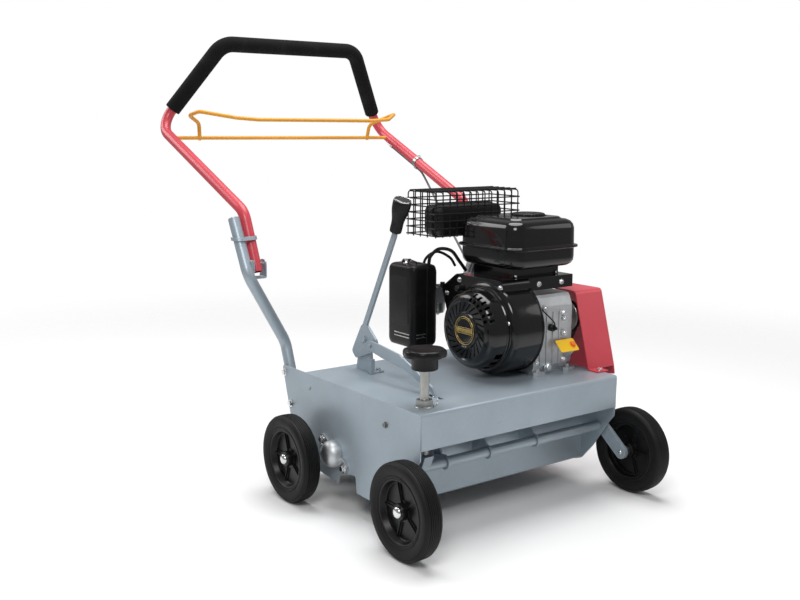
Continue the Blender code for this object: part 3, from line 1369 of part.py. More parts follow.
def build_bearings():
    """Two-bolt flange bearings. The right one has a closed dome, and the shaft runs through the left one."""
    across = math.radians(BEARING_TILT)
    step = Vector((math.cos(across), math.sin(across))) * BEARING_BOLT
    middle = Vector((REEL_Y, REEL_Z))
    ends = [tuple(middle - step), tuple(middle + step)]
    for side, name in ((-1, "bearing_right"), (1, "bearing_left")):
        face = side * (DECK_HALF + SEAT)
        outline = slab(ends[0], ends[1], BEARING_END, BEARING_END, 3)
        flange = prism(outline, "X", *sorted((face, face + side * 0.006)))
        bore = REEL_SHAFT_RADIUS + PLAY
        if side < 0:
            steps = [(1.0, 0.0), (1.0, 0.25), (0.93, 0.55), (0.76, 0.80), (0.48, 0.95)]
            proud, inner = BEARING_PROUD, [(0, BEARING_PROUD), (0, BEARING_ROOM), (bore, BEARING_ROOM)]
        else:
            steps = [(1.0, 0.0), (1.0, 0.7), (0.8, 1.0)]
            proud, inner = BEARING_OPEN_PROUD, [(bore, BEARING_OPEN_PROUD)]
        profile = [(bore, 0.0)] + [(BEARING_RADIUS * size, proud * share) for size, share in steps] + inner
        outline = [(radius, side * along) for radius, along in profile]
        dome = turned(outline, "X", along_x((REEL_Y, REEL_Z), face), 14)
        hole = rod_across((REEL_Y, REEL_Z), face - side * 0.01, face + side * 0.010, bore, 14)
        bolts = []
        for end in ends:
            bolts.append(rod_across(end, face + side * 0.003, face + side * 0.0105, BOLT_HEAD_RADIUS, 6))
        shell = held(fused([flange, dome], [hole]))
        piece(name, fused([shell] + bolts), "cast_aluminium", "frame")


def idler_place():
    """The idler's middle at rest: outside the belt's rear run, held off it while the bail is free."""
    first, second = Vector((CRANK_Y, CRANK_Z)), Vector((REEL_Y, REEL_Z))
    run = (second - first).normalized()
    out = Vector((-run.y, run.x))
    share = 0.42
    offset = ENGINE_PULLEY_RADIUS + (REEL_PULLEY_RADIUS - ENGINE_PULLEY_RADIUS) * share
    return first.lerp(second, share) + out * (offset + IDLER_GAP + IDLER_RADIUS)


def build_idler():
    middle = tuple(idler_place())
    pivot("idler_swing", along_x(IDLER_PIVOT, BELT_X))
    pivot("idler_spin", along_x(middle, BELT_X), "idler_swing")
    low = DECK_HALF + 0.0025
    arm = prism(slab(IDLER_PIVOT, middle, 0.011, 0.010), "X", low, low + IDLER_ARM_THICK)
    hook_end = (middle[0] + 0.030, middle[1] + 0.012)
    hook = prism(slab(middle, hook_end, 0.007, 0.006), "X", low, low + IDLER_ARM_THICK)
    stud_end = BELT_X + PULLEY_WIDTH / 2
    stud = rod_across(middle, low + 0.001, stud_end, BOLT_RADIUS, 12)
    hole = rod_across(IDLER_PIVOT, low - 0.01, low + 0.01, BOLT_RADIUS + PLAY, 12)
    piece("idler_arm", fused([arm, hook, stud], [hole]), "zinc", "idler_swing")
    half = BELT_WIDTH / 2
    bore = BOLT_RADIUS + PLAY
    profile = [
        (bore, -half),
        (IDLER_RADIUS + 0.003, -half),
        (IDLER_RADIUS, -half + 0.0015),
        (IDLER_RADIUS, half - 0.0015),
        (IDLER_RADIUS + 0.003, half),
        (bore, half),
    ]
    wheel = turned(profile, "X", along_x(middle, BELT_X), 14)
    piece("idler_pulley", fused([wheel]), "black_plastic", "idler_spin")
    start = DECK_HALF + SEAT
    post = rod_across(IDLER_PIVOT, start, low + IDLER_ARM_THICK + 0.004, BOLT_RADIUS, 12)
    base = rod_across(IDLER_PIVOT, start, low - SEAT, 0.009, 16)
    piece("idler_stud", fused([base, post]), "zinc", "frame")


def build_guard():
    """The red cover over the belt's upper half: a bent sheet, closed on its outer side and open inside."""
    low, high = GUARD_X
    front = [(-0.337, DECK_TOP + SHEET / 2), (-0.287, GUARD_TOP)]
    sheet = folded([front[0], front[1], (GUARD_REAR, GUARD_TOP)], SHEET, 0.010)
    shell = prism(sheet, "X", low, high - 0.001)
    corner = fillet(Vector(front[0]), Vector(front[1]), Vector((GUARD_REAR, GUARD_TOP)), 0.010, 3)
    side = [(-0.340, DECK_TOP - 0.018), front[0]] + [tuple(p) for p in corner]
    side += [(GUARD_REAR, GUARD_TOP), (GUARD_REAR, GUARD_BOTTOM)]
    plate = prism(side, "X", high - SHEET, high)
    tab = box((low, low + 0.036), (-0.366, -0.334), (DECK_TOP + SEAT, DECK_TOP + SEAT + SHEET))
    screw = rod((low + 0.018, -0.354, DECK_TOP + 0.002), (low + 0.018, -0.354, DECK_TOP + 0.009), 0.006, 6)
    piece("belt_guard", fused([shell, plate, tab, screw]), "red_paint", "frame")


def build_cover():
    """The low cover over the reel's pulley, an open-topped pan against the deck's side."""
    wall = 0.002
    low, high = DECK_HALF + SEAT, COVER_X
    size = max(REEL_PULLEY_RADIUS, BEARING_BOLT + BEARING_END) + COVER_MARGIN
    centre = (REEL_Y, REEL_Z)
    up = Vector((CRANK_Y - REEL_Y, CRANK_Z - REEL_Z)).normalized()
    far = tuple(Vector(centre) + up * 0.082)
    outside = slab(centre, far, size + wall, size - 0.006 + wall, 10)
    inside = slab(centre, far, size, size - 0.006, 10)
    pan = prism(outside, "X", low, high)
    hollow = prism(inside, "X", low - 0.01, high - wall)
    open_top = box((low - 0.01, high + 0.01), (-0.4, 0.2), (0.206, 0.4))
    piece("belt_cover", fused([pan], [hollow, open_top]), "red_paint", "frame")


# Cable


def cable_run():
    """The upper tube's long run, the way it heads, and which way is under it."""
    knee, elbow = Vector(UPPER_KNEE), Vector(UPPER_ELBOW)
    heading = (elbow - knee).normalized()
    under = Vector((0, heading.z, -heading.y)).normalized()
    return knee, elbow, heading, under


def build_cable():
    """The clutch cable on the handle, and its free run down to the idler's arm."""
    knee, elbow, heading, under = cable_run()
    gap = TUBE_RADIUS + CABLE_RADIUS + SEAT
    drop = 0.0012
    clamp = knee.lerp(elbow, 0.48) + under * gap
    top = knee.lerp(elbow, 0.80) + under * gap
    tube = rod(tuple(top), tuple(clamp), CABLE_RADIUS, 10)
    piece("clutch_cable", fused([tube]), "black_plastic", "handle_fold")
    ring_middle = knee.lerp(elbow, 0.50)
    half = heading * 0.006
    band = swept([ring_middle - half, ring_middle + half], TUBE_RADIUS + 0.0035, 14, TUBE_RADIUS + 2 * SEAT)
    saddle_middle = ring_middle + under * (gap + drop)
    saddle = swept([saddle_middle - half, saddle_middle + half], CABLE_RADIUS + 0.0035, 10)
    room = swept([ring_middle - half * 2, ring_middle + half * 2], TUBE_RADIUS + 2 * SEAT, 14)
    pipe_middle = saddle_middle - under * drop
    pipe = swept([pipe_middle - half * 2, pipe_middle + half * 2], CABLE_RADIUS + SEAT, 10)
    piece("cable_clamp", fused([band, saddle], [room, pipe]), "zinc", "handle_fold")
    middle = idler_place()
    hook = Vector((DECK_HALF + 0.0045, middle.x + 0.030, middle.y + 0.012))
    start = clamp - heading * 0.001
    stops = [
        start,
        start - heading * 0.030 + under * 0.005,
        Vector((0.322, 0.325, 0.645)),
        Vector((0.298, 0.215, 0.556)),
        Vector((0.291, 0.100, 0.452)),
        Vector((hook.x, hook.y + 0.022, hook.z + 0.050)),
        hook + Vector((0, 0.002, 0.007)),
    ]
    curve = bpy.data.curves.new("free_cable", "CURVE")
    curve.dimensions = "3D"
    curve.bevel_depth = CABLE_RADIUS
    curve.bevel_resolution = 2
    curve.use_fill_caps = True
    points = smooth(stops, 4)
    line = curve.splines.new("POLY")
    line.points.add(len(points) - 1)
    for point, place in zip(line.points, points):
        point.co = (*(place - PLACES["frame"]), 1)
    curve.materials.append(material("black_plastic"))
    made = bpy.data.objects.new("clutch_cable_free", curve)
    made.parent = bpy.data.objects["frame"]
    bpy.context.scene.collection.objects.link(made)


def smooth(stops, steps):
    """A smooth curve through the stops."""
    stops = [Vector(stop) for stop in stops]
    ends = [2 * stops[0] - stops[1]] + stops + [2 * stops[-1] - stops[-2]]
    points = []
    for a, b, c, d in zip(ends, ends[1:], ends[2:], ends[3:]):
        for step in range(steps):
            t = step / steps
            square, cube = (2 * a - 5 * b + 4 * c - d) * t**2, (3 * b - a - 3 * c + d) * t**3
            points.append(0.5 * (2 * b + (c - a) * t + square + cube))
    return points + [stops[-1]]


def centre_on_ground():
    """Moves the machine so that the origin is under the middle of its box."""
    bpy.context.view_layer.update()
    corners = []
    for made in bpy.context.scene.objects:
        if made.type in ("MESH", "CURVE") and not made.hide_render:
            corners += [made.matrix_world @ Vector(corner) for corner in made.bound_box]
    low = [min(corner[axis] for corner in corners) for axis in range(3)]
    high = [max(corner[axis] for corner in corners) for axis in range(3)]
    bpy.data.objects["frame"].location = (-(low[0] + high[0]) / 2, -(low[1] + high[1]) / 2, -low[2])


def main():
    for old in list(bpy.data.objects):
        bpy.data.objects.remove(old)
    PLACES.clear()
    pivot("frame", (0, 0, 0), None)
    build_deck()
    build_front_plate()
    build_rear_flap()
    build_front_axle()
    build_wheels()
    build_depth_screw()
    build_lever()
    build_lever_bracket()
    build_link()
    build_lower_handle(-1)
    build_lower_handle(1)
    build_upper_handle()
    build_bail()
    build_locking_ring(-1)
    build_locking_ring(1)
    build_crankcase()
    build_dipstick()
    build_cylinder()
    build_blower()
    build_recoil_cover()
    build_starter_grip()
    build_tank()
    build_air_filter()
    build_carburettor()
    build_muffler()
    build_cage()
    build_reel()
    build_engine_pulley()
    build_belt()
    build_bearings()
    build_idler()
    build_guard()
    build_cover()
    build_cable()
    centre_on_ground()


main()
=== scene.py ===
"""The looks of a walk-behind power rake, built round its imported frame.

Every Y in the building functions is measured back from the rear axle, as on a workshop drawing. piece()
moves each finished piece to the frame's own place. mm() reads a table of points in millimetres.
"""

import json
import math

import bmesh
import bpy
from bpy.props import FloatProperty, FloatVectorProperty, IntProperty, PointerProperty
from mathutils import Matrix, Vector

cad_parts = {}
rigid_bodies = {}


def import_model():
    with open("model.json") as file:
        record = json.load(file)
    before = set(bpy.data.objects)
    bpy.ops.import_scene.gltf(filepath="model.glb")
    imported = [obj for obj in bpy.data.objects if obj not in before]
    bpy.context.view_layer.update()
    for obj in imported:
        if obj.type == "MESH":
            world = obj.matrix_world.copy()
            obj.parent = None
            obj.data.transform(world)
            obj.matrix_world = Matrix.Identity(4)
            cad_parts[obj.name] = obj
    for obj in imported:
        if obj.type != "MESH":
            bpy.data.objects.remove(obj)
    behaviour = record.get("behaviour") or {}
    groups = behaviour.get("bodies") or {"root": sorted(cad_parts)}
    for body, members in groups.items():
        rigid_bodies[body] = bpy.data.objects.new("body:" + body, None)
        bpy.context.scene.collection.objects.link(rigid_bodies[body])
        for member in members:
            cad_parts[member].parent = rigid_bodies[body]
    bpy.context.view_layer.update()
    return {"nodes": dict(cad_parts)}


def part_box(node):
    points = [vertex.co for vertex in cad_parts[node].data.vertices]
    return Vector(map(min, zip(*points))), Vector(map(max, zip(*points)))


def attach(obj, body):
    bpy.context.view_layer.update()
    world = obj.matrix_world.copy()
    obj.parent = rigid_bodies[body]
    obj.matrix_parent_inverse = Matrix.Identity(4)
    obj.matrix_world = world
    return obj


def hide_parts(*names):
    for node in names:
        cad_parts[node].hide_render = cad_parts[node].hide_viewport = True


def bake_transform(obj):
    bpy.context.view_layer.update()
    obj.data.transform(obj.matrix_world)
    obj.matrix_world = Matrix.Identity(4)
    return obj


bl_info = {
    "name": "Power Rake Looks",
    "version": (1, 0, 0),
    "blender": (4, 5, 0),
    "location": "View3D > Sidebar > Power Rake",
    "description": "Dresses the packed frame of a walk-behind power rake",
    "category": "Object",
}

for old in list(bpy.data.objects):
    bpy.data.objects.remove(old)
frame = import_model()


def middle(node):
    low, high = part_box(node)
    return (low + high) / 2


REAR_AXLE_Y = middle("tyre_rear_left").y
SEAT = 0.0003
DECK_TOP = 0.283
DECK_HALF = 0.286
CRANK_Y = -0.224
CRANK_Z = 0.395
CYLINDER_TILT = 25.0
CYLINDER_REACH = 0.205
REEL = (-0.088, 0.122)
BELT_X = 0.306
ENGINE_PULLEY = 0.038
REEL_PULLEY = 0.045
LEVER_X = -0.168
LEVER_HALF = 0.003
KNOB_PLACE = (-0.239, -0.356)
AXLE_TUBE = (-0.352, 0.152)
FRONT_WHEEL = (-0.4174, 0.100)
FRONT_WHEEL_X = 0.333
TUBE_RADIUS = 0.0135
TUBE_BORE = TUBE_RADIUS - 0.002
BEND_RADIUS = 0.055
HINGE_UP = 0.020
LOWER_KNEE = Vector((0.372, 0.146, 0.505))
LOWER_END = Vector((0.372, 0.214, 0.633))
UPPER_FOOT = Vector((0.336, 0.170, 0.508))
UPPER_KNEE = Vector((0.341, 0.222, 0.648))
UPPER_ELBOW = Vector((0.354, 0.669, 0.848))
UPPER_CORNER = Vector((0.210, 0.575, 1.066))
HINGE = UPPER_FOOT + (UPPER_KNEE - UPPER_FOOT).normalized() * HINGE_UP
BAIL_PIVOT = (0.599, 0.8170)


def colour_setting(name, description, default):
    return FloatVectorProperty(
        name=name, description=description, subtype="COLOR", size=3, min=0.0, max=1.0, default=default
    )


def length_setting(name, description, low, high, default):
    return FloatProperty(
        name=name,
        description=description,
        subtype="DISTANCE",
        unit="LENGTH",
        min=low,
        max=high,
        default=default,
    )


def count_setting(name, description, low, high, default):
    return IntProperty(name=name, description=description, min=low, max=high, default=default)


class RakeSettings(bpy.types.PropertyGroup):
    """The sizes and colours that a user would change."""

    deck_colour: colour_setting(
        "Deck colour", "Metallic powder coat on the deck and the lower tubes", (0.345, 0.405, 0.455)
    )
    handle_colour: colour_setting(
        "Handle colour", "Powder coat on the upper handle and the belt guard", (0.60, 0.062, 0.085)
    )
    bail_colour: colour_setting("Bail colour", "Powder coat on the clutch bail", (0.82, 0.36, 0.030))
    engine_colour: colour_setting(
        "Engine colour", "Gloss paint on the engine's shrouds and tank", (0.004, 0.004, 0.0043)
    )
    rim_round: length_setting("Rim rounding", "Radius on the edges of the rims", 0.0001, 0.0015, 0.00045)
    foam_radius: length_setting(
        "Foam radius", "Outer radius of the foam sleeve on the grip", 0.018, 0.0215, 0.0209
    )
    tyre_ribs: count_setting("Tyre ribs", "How many ribs run round each tyre's tread", 3, 11, 7)
    rim_windows: count_setting("Rim windows", "How many windows each rim has", 3, 8, 5)


# Shader maths


def operation(kind, swapped=False):
    """A Python operator that adds a Math node."""

    def apply(self, other):
        first, second = (other, self) if swapped else (self, other)
        return self.finish.add("ShaderNodeMath", {"operation": kind}, {0: first, 1: second})

    return apply


class Socket:
    """A node's output, so that shader maths reads as Python expressions."""

    __add__, __radd__ = operation("ADD"), operation("ADD", True)
    __sub__, __rsub__ = operation("SUBTRACT"), operation("SUBTRACT", True)
    __mul__, __rmul__ = operation("MULTIPLY"), operation("MULTIPLY", True)

    def __init__(self, finish, output):
        self.finish = finish
        self.output = output


def socket_name(keyword):
    return keyword.replace("_", " ").title().replace("Ior", "IOR")


def padded_colour(value):
    if isinstance(value, (tuple, list)) and len(value) == 3:
        return (*value, 1.0)
    return value


class Finish:
    """A material whose nodes are added one call at a time."""

    def __init__(self, name, colour, **constants):
        self.material = bpy.data.materials.new(name)
        self.material.use_nodes = True
        self.material.diffuse_color = (*colour, 1)
        self.tree = self.material.node_tree
        self.shader = self.tree.nodes["Principled BSDF"]
        for socket, value in {"base_color": (*colour, 1), **constants}.items():
            self.shader.inputs[socket_name(socket)].default_value = value
        self.place = self.add("ShaderNodeTexCoord", output="Object")

    def add(self, kind, settings=None, sockets=None, output=0):
        """A node of a kind: its settings first, then the values or links of its sockets."""
        node = self.tree.nodes.new(kind)
        for setting, value in (settings or {}).items():
            setattr(node, setting, value)
        for name, value in (sockets or {}).items():
            if isinstance(value, Socket):
                self.tree.links.new(value.output, node.inputs[name])
            else:
                node.inputs[name].default_value = value
        return Socket(self, node.outputs[output])

    def noise(self, scale, detail=2.0, roughness=0.5, stretch=(1, 1, 1)):
        """Noise from 0 to 1 in the piece's own space, its scale in waves for each metre."""
        sources = {"Vector": self.place, "Scale": stretch}
        place = self.add("ShaderNodeMapping", {"vector_type": "POINT"}, sources)
        sockets = {"Vector": place, "Scale": scale, "Detail": detail, "Roughness": roughness}
        return self.add("ShaderNodeTexNoise", None, sockets, "Fac")

    def cells(self, scale):
        return self.add("ShaderNodeTexVoronoi", None, {"Vector": self.place, "Scale": scale}, "Distance")

    def band(self, value, low, high):
        """0 under low, 1 over high and a smooth rise between them."""
        sockets = {"Value": value, "From Min": low, "From Max": high, "To Min": 0.0, "To Max": 1.0}
        return self.add("ShaderNodeMapRange", {"interpolation_type": "SMOOTHSTEP"}, sockets)

    def mixed(self, factor, first, second):
        """Two colours through a Mix node."""
        inputs = {0: factor, 6: padded_colour(first), 7: padded_colour(second)}
        return self.add("ShaderNodeMix", {"data_type": "RGBA"}, inputs, 2)

    def edges(self, radius):
        """1 on edges, 0 on flats: how far the rounded normal leans from the true one."""
        bent_normal = self.add("ShaderNodeBevel", {"samples": 4}, {"Radius": radius})
        true_normal = self.add("ShaderNodeNewGeometry", output="Normal")
        sockets = {0: bent_normal, 1: true_normal}
        lean = self.add("ShaderNodeVectorMath", {"operation": "DOT_PRODUCT"}, sockets, "Value")
        return self.band(1.0 - lean, 0.02, 0.12)

    def feed(self, **links):
        for name, value in links.items():
            self.tree.links.new(value.output, self.shader.inputs[socket_name(name)])

    def bump(self, height, distance, strength=1.0, round_edges=0.0):
        """Feeds the shader's normal from a height, over edges rounded by a radius."""
        sockets = {"Strength": strength, "Distance": distance, "Height": height}
        if round_edges:
            sockets["Normal"] = self.add("ShaderNodeBevel", {"samples": 4}, {"Radius": round_edges})
        self.feed(normal=self.add("ShaderNodeBump", None, sockets))


def shade(colour, factor):
    return tuple(min(1.0, channel * factor) for channel in colour)


def powder_coat(name, colour, metallic, roughness, flake, peel=0.00012):
    """Baked powder coat: fine flake, a slight orange peel, faint scuffs and handling marks."""
    finish = Finish(name, colour, metallic=metallic, roughness=roughness)
    broad = finish.noise(7.0, 4.0, 0.6)
    fine = finish.noise(1400.0, 1.0)
    scuff = finish.band(finish.noise(38.0, 6.0, 0.7, (1, 1, 3)), 0.63, 0.70)
    tone = finish.mixed(finish.band(broad, 0.3, 0.7), shade(colour, 0.93), shade(colour, 1.06))
    tone = finish.mixed(finish.band(fine, 0.45, 0.75) * flake, tone, shade(colour, 1.6))
    tone = finish.mixed(scuff * 0.25, tone, shade(colour, 0.72))
    finish.feed(base_color=tone, roughness=roughness + broad * 0.10 - 0.05 + scuff * 0.10)
    finish.bump(finish.noise(420.0, 2.0) + fine * 0.15, peel, 0.55, 0.0008)
    return finish.material


def gloss_paint(name, colour, roughness=0.12, peel=0.35):
    """Dark gloss paint on pressed steel: a wet coat, a soft orange peel and settled dust."""
    coat = {"specular_ior_level": 0.35, "coat_weight": 0.25, "coat_roughness": 0.03}
    finish = Finish(name, colour, roughness=roughness, **coat)
    dust = finish.band(finish.noise(26.0, 8.0, 0.75), 0.50, 0.78)
    speck = finish.band(finish.noise(900.0, 2.0), 0.66, 0.74)
    tone = finish.mixed(dust * 0.012 + speck * 0.02, colour, (0.35, 0.34, 0.32))
    finish.feed(base_color=tone, roughness=roughness + dust * 0.12 + speck * 0.1)
    finish.bump(finish.noise(190.0, 2.0), 0.00010, peel, 0.0008)
    return finish.material


def moulded(name, colour, roughness=0.42, grain=700.0, depth=0.00012, dust_tone=0.03, shine=0.5):
    """Moulded plastic or rubber with a fine grain and a little dust in it."""
    finish = Finish(name, colour, roughness=roughness, specular_ior_level=shine)
    fine = finish.noise(grain, 2.0, 0.6)
    dust = finish.band(finish.noise(14.0, 5.0, 0.6), 0.52, 0.80)
    tone = finish.mixed(dust * dust_tone, colour, (0.22, 0.21, 0.20))
    finish.feed(base_color=tone, roughness=roughness + fine * 0.16 - 0.08 + dust * 0.12)
    finish.bump(fine + finish.cells(grain * 0.6) * 0.5, depth, 0.8, 0.0006)
    return finish.material


def bare_metal(name, colour, roughness, grain, depth, blotch=0.10, edge=0.0):
    """Plated, cast or milled metal: its colour and roughness drift in soft blotches."""
    finish = Finish(name, colour, metallic=1.0, roughness=roughness)
    broad = finish.noise(22.0, 5.0, 0.6)
    fine = finish.noise(grain, 3.0, 0.6)
    stain = finish.band(finish.noise(60.0, 4.0, 0.65), 0.55, 0.80)
    tone = finish.mixed(finish.band(broad, 0.3, 0.7), shade(colour, 0.86), shade(colour, 1.08))
    tone = finish.mixed(stain * 0.35, tone, shade(colour, 0.55))
    rough = roughness + broad * blotch + fine * 0.10 - 0.05 + stain * 0.12
    if edge:
        worn = finish.edges(edge)
        tone = finish.mixed(worn, tone, shade(colour, 1.9))
        rough = rough - worn * 0.12
    finish.feed(base_color=tone, roughness=rough)
    finish.bump(fine, depth, 0.8, 0.0006)
    return finish.material


def foam_rubber(name, colour):
    """Closed-cell foam: matt, with small open pores that are sunk in the bump and darkened with painted
    shade, and rubbed patches.
    """
    finish = Finish(name, colour, roughness=0.93, specular_ior_level=0.25)
    pores_and_pore_shade = finish.band(finish.cells(520.0), 0.10, 0.45)
    rub = finish.band(finish.noise(16.0, 5.0, 0.6), 0.50, 0.80)
    # Painted shade: the pore mask darkens each pore to a third of the foam's colour, standing in for the
    # shade inside the pit.
    tone = finish.mixed(pores_and_pore_shade, shade(colour, 0.35), colour)
    tone = finish.mixed(rub * 0.25, tone, (0.022, 0.022, 0.023))
    finish.feed(base_color=tone, roughness=0.95 - rub * 0.15)
    finish.bump(pores_and_pore_shade + finish.noise(130.0, 3.0) * 0.8, 0.0005, 0.7)
    return finish.material


def tyre_rubber(name, colour):
    """Solid tyre rubber: charcoal black, dusty on the tread and greyed where it has rolled."""
    finish = Finish(name, colour, roughness=0.55, specular_ior_level=0.2)
    grime = finish.band(finish.noise(30.0, 6.0, 0.7), 0.48, 0.80)
    fine = finish.noise(600.0, 3.0, 0.6)
    tone = finish.mixed(grime * 0.06, colour, (0.11, 0.10, 0.09))
    finish.feed(base_color=tone, roughness=0.48 + grime * 0.22 + fine * 0.10)
    finish.bump(fine + grime * 0.4, 0.00018, 0.7)
    return finish.material


def heat_black(name, colour):
    """Stove black on the silencer and its cage: matt, dry and browned in places."""
    finish = Finish(name, colour, roughness=0.55, specular_ior_level=0.25)
    burn = finish.band(finish.noise(34.0, 6.0, 0.7), 0.52, 0.72)
    tone = finish.mixed(burn * 0.2, colour, (0.045, 0.032, 0.024))
    finish.feed(base_color=tone, roughness=0.45 + burn * 0.3)
    finish.bump(finish.noise(520.0, 3.0), 0.00015, 0.8, 0.0006)
    return finish.material


def make_finishes(settings):
    """Every material, by the name that the pieces ask for."""
    grey, red = tuple(settings.deck_colour), tuple(settings.handle_colour)
    orange, black = tuple(settings.bail_colour), tuple(settings.engine_colour)
    return {
        "grey": powder_coat("grey powder coat", grey, 0.40, 0.40, 0.30),
        "red": powder_coat("red powder coat", red, 0.0, 0.30, 0.05, 0.00004),
        "orange": powder_coat("orange powder coat", orange, 0.0, 0.32, 0.05, 0.00004),
        "gloss": gloss_paint("black shroud paint", black),
        "panel": gloss_paint("black panel enamel", shade(black, 0.8), 0.18, 0.2),
        "plastic": moulded("black moulded plastic", (0.005, 0.005, 0.0053), 0.32, shine=0.25),
        "soft_plastic": moulded(
            "soft black plastic", (0.007, 0.007, 0.0073), 0.48, 500.0, 0.0002, shine=0.25
        ),
        "conduit": moulded("grey cable conduit", (0.12, 0.13, 0.14), 0.45, 500.0),
        "yellow": moulded("yellow tag plastic", (0.86, 0.52, 0.015), 0.34, 500.0, 0.0001, 0.05),
        "amber": moulded("orange cap plastic", (0.85, 0.20, 0.012), 0.36, 500.0, 0.0001, 0.05),
        "foam": foam_rubber("foam sleeve", (0.006, 0.006, 0.0065)),
        "tyre": tyre_rubber("tyre rubber", (0.006, 0.006, 0.0062)),
        "belt": moulded("belt rubber", (0.012, 0.012, 0.012), 0.60, 380.0, 0.0003, 0.1),
        "heat": heat_black("stove black", (0.008, 0.008, 0.008)),
        "zinc": bare_metal("zinc plate", (0.46, 0.46, 0.44), 0.30, 320.0, 0.00006),
        "bright": bare_metal("bright steel", (0.74, 0.75, 0.76), 0.16, 500.0, 0.00003, 0.05),
        "cast": bare_metal("cast aluminium", (0.56, 0.575, 0.59), 0.40, 210.0, 0.00035, 0.14),
        "knife": bare_metal("knife steel", (0.20, 0.20, 0.205), 0.38, 260.0, 0.0001, 0.14, 0.0012),
        "gilt": bare_metal("gilt ring", (0.72, 0.50, 0.16), 0.24, 500.0, 0.00003, 0.05),
    }


FINISHES = {}


# Outlines and paths


def mm(points, *start):
    """Points in millimetres as points in metres, counted from a start."""
    start = start or (0, 0, 0)
    return [tuple(a + b / 1000 for a, b in zip(start, point)) for point in points]


def arc(centre, radius, start, end, steps):
    turns = [math.radians(start + (end - start) * step / steps) for step in range(steps + 1)]
    return [(centre[0] + radius * math.cos(turn), centre[1] + radius * math.sin(turn)) for turn in turns]


def circle(centre, radius, sides=48):
    return arc(centre, radius, 0, 360 - 360 / sides, sides - 1)


def scalloped(centre, radius, count, dip, steps, power=1.0):
    """A circle with a row of soft dips round it."""
    outline = []
    for step in range(count * steps):
        turn = 2 * math.pi * step / (count * steps)
        reach = radius - dip * ((1 - math.cos(count * turn)) / 2) ** power
        outline.append((centre[0] + reach * math.cos(turn), centre[1] + reach * math.sin(turn)))
    return outline


def fillet(before, here, after, radius, steps):
    """The points that round one corner of a path."""
    back, ahead = before - here, after - here
    half = back.angle(ahead) / 2
    if radius <= 0 or half > math.radians(89.5):
        return [here]
    reach = min(radius / math.tan(half), 0.48 * back.length, 0.48 * ahead.length)
    heart = here + (back.normalized() + ahead.normalized()).normalized() * reach / math.cos(half)
    first = here + back.normalized() * reach - heart
    last = here + ahead.normalized() * reach - heart
    swing = math.pi - 2 * half
    points = []
    for step in range(steps + 1):
        share = step / steps
        near = first * (math.sin((1 - share) * swing) / math.sin(swing))
        far = last * (math.sin(share * swing) / math.sin(swing))
        points.append(heart + near + far)
    return points


def rounded(corners, radius, steps=5):
    """A closed outline with rounded corners."""
    corners = [Vector(corner) for corner in corners]
    points = []
    for before, here, after in zip(corners[-1:] + corners, corners, corners[1:] + corners):
        points += [tuple(point) for point in fillet(before, here, after, radius, steps)]
    return points


def bent(stops, radius, steps=10):
    """An open path through the stops, with its bends rounded."""
    stops = [Vector(stop) for stop in stops]
    path = [stops[0]]
    for before, here, after in zip(stops, stops[1:], stops[2:]):
        path += fillet(before, here, after, radius, steps)
    return path + [stops[-1]]


def smooth(stops, steps):
    """A smooth curve through the stops."""
    stops = [Vector(stop) for stop in stops]
    ends = [2 * stops[0] - stops[1]] + stops + [2 * stops[-1] - stops[-2]]
    points = []
    for a, b, c, d in zip(ends, ends[1:], ends[2:], ends[3:]):
        for step in range(steps):
            t = step / steps
            square, cube = 2 * a - 5 * b + 4 * c - d, 3 * b - a - 3 * c + d
            points.append(0.5 * (2 * b + (c - a) * t + square * t**2 + cube * t**3))
    return points + [stops[-1]]


def slab(first, second, half_first, half_second=None, steps=16):
    """The outline of a bar with round ends, wider at one end if the two halves differ."""
    half_second = half_first if half_second is None else half_second
    run = Vector(second) - Vector(first)
    heading = math.degrees(math.atan2(run.y, run.x))
    lean = math.degrees(math.asin((half_first - half_second) / run.length))
    head = arc(first, half_first, heading + 90 - lean, heading + 270 + lean, steps)
    return head + arc(second, half_second, heading - 90 + lean, heading + 90 - lean, steps)


def oblong(first, second, inset, radius, steps=7):
    """A rectangle's outline between two ranges, drawn in by the inset, with round corners."""
    low, high = first[0] + inset, first[1] - inset
    near, far = second[0] + inset, second[1] - inset
    return rounded([(low, near), (high, near), (high, far), (low, far)], radius, steps)


def side_step(start, end, length):
    run = (end - start).normalized()
    return Vector((run.y, -run.x)) * length


def folded(stops, thick, radius, steps=5):
    """The outline of a folded sheet: the stops are its outer side, and its thickness lies to their right."""
    outer = bent(stops, radius, steps)
    flat = [Vector(stop) for stop in stops]
    inner = [flat[0] + side_step(flat[0], flat[1], thick)]
    for before, here, after in zip(flat, flat[1:], flat[2:]):
        first, second = side_step(before, here, 1.0), side_step(here, after, 1.0)
        inner.append(here + (first + second) * thick / (1 + first.dot(second)))
    inner.append(flat[-1] + side_step(flat[-2], flat[-1], thick))
    inner = bent(inner, max(radius - abs(thick), 0.0005), steps)
    return [tuple(point) for point in outer] + [tuple(point) for point in reversed(inner)]


def span(heart, size):
    return (heart - size / 2, heart + size / 2)


def both(side, first, second):
    """A range on one side of the machine, its lower end first."""
    return sorted((side * first, side * second))


def side_name(side):
    return "left" if side > 0 else "right"


def along_x(place, x):
    return (x, place[0], place[1])


def crank(x):
    return (x, CRANK_Y, CRANK_Z)


def mirrored(place, side):
    return Vector((side * place[0], place[1], place[2]))


# Solids


def spot(axis, first, second, along):
    return {"X": (along, first, second), "Y": (first, along, second), "Z": (first, second, along)}[axis]


def solid(shape, finish):
    """A helper object that holds one finished solid."""
    bmesh.ops.recalc_face_normals(shape, faces=shape.faces)
    mesh = bpy.data.meshes.new("solid")
    shape.to_mesh(mesh)
    shape.free()
    mesh.materials.append(FINISHES[finish])
    helper = bpy.data.objects.new("solid", mesh)
    bpy.context.scene.collection.objects.link(helper)
    return helper


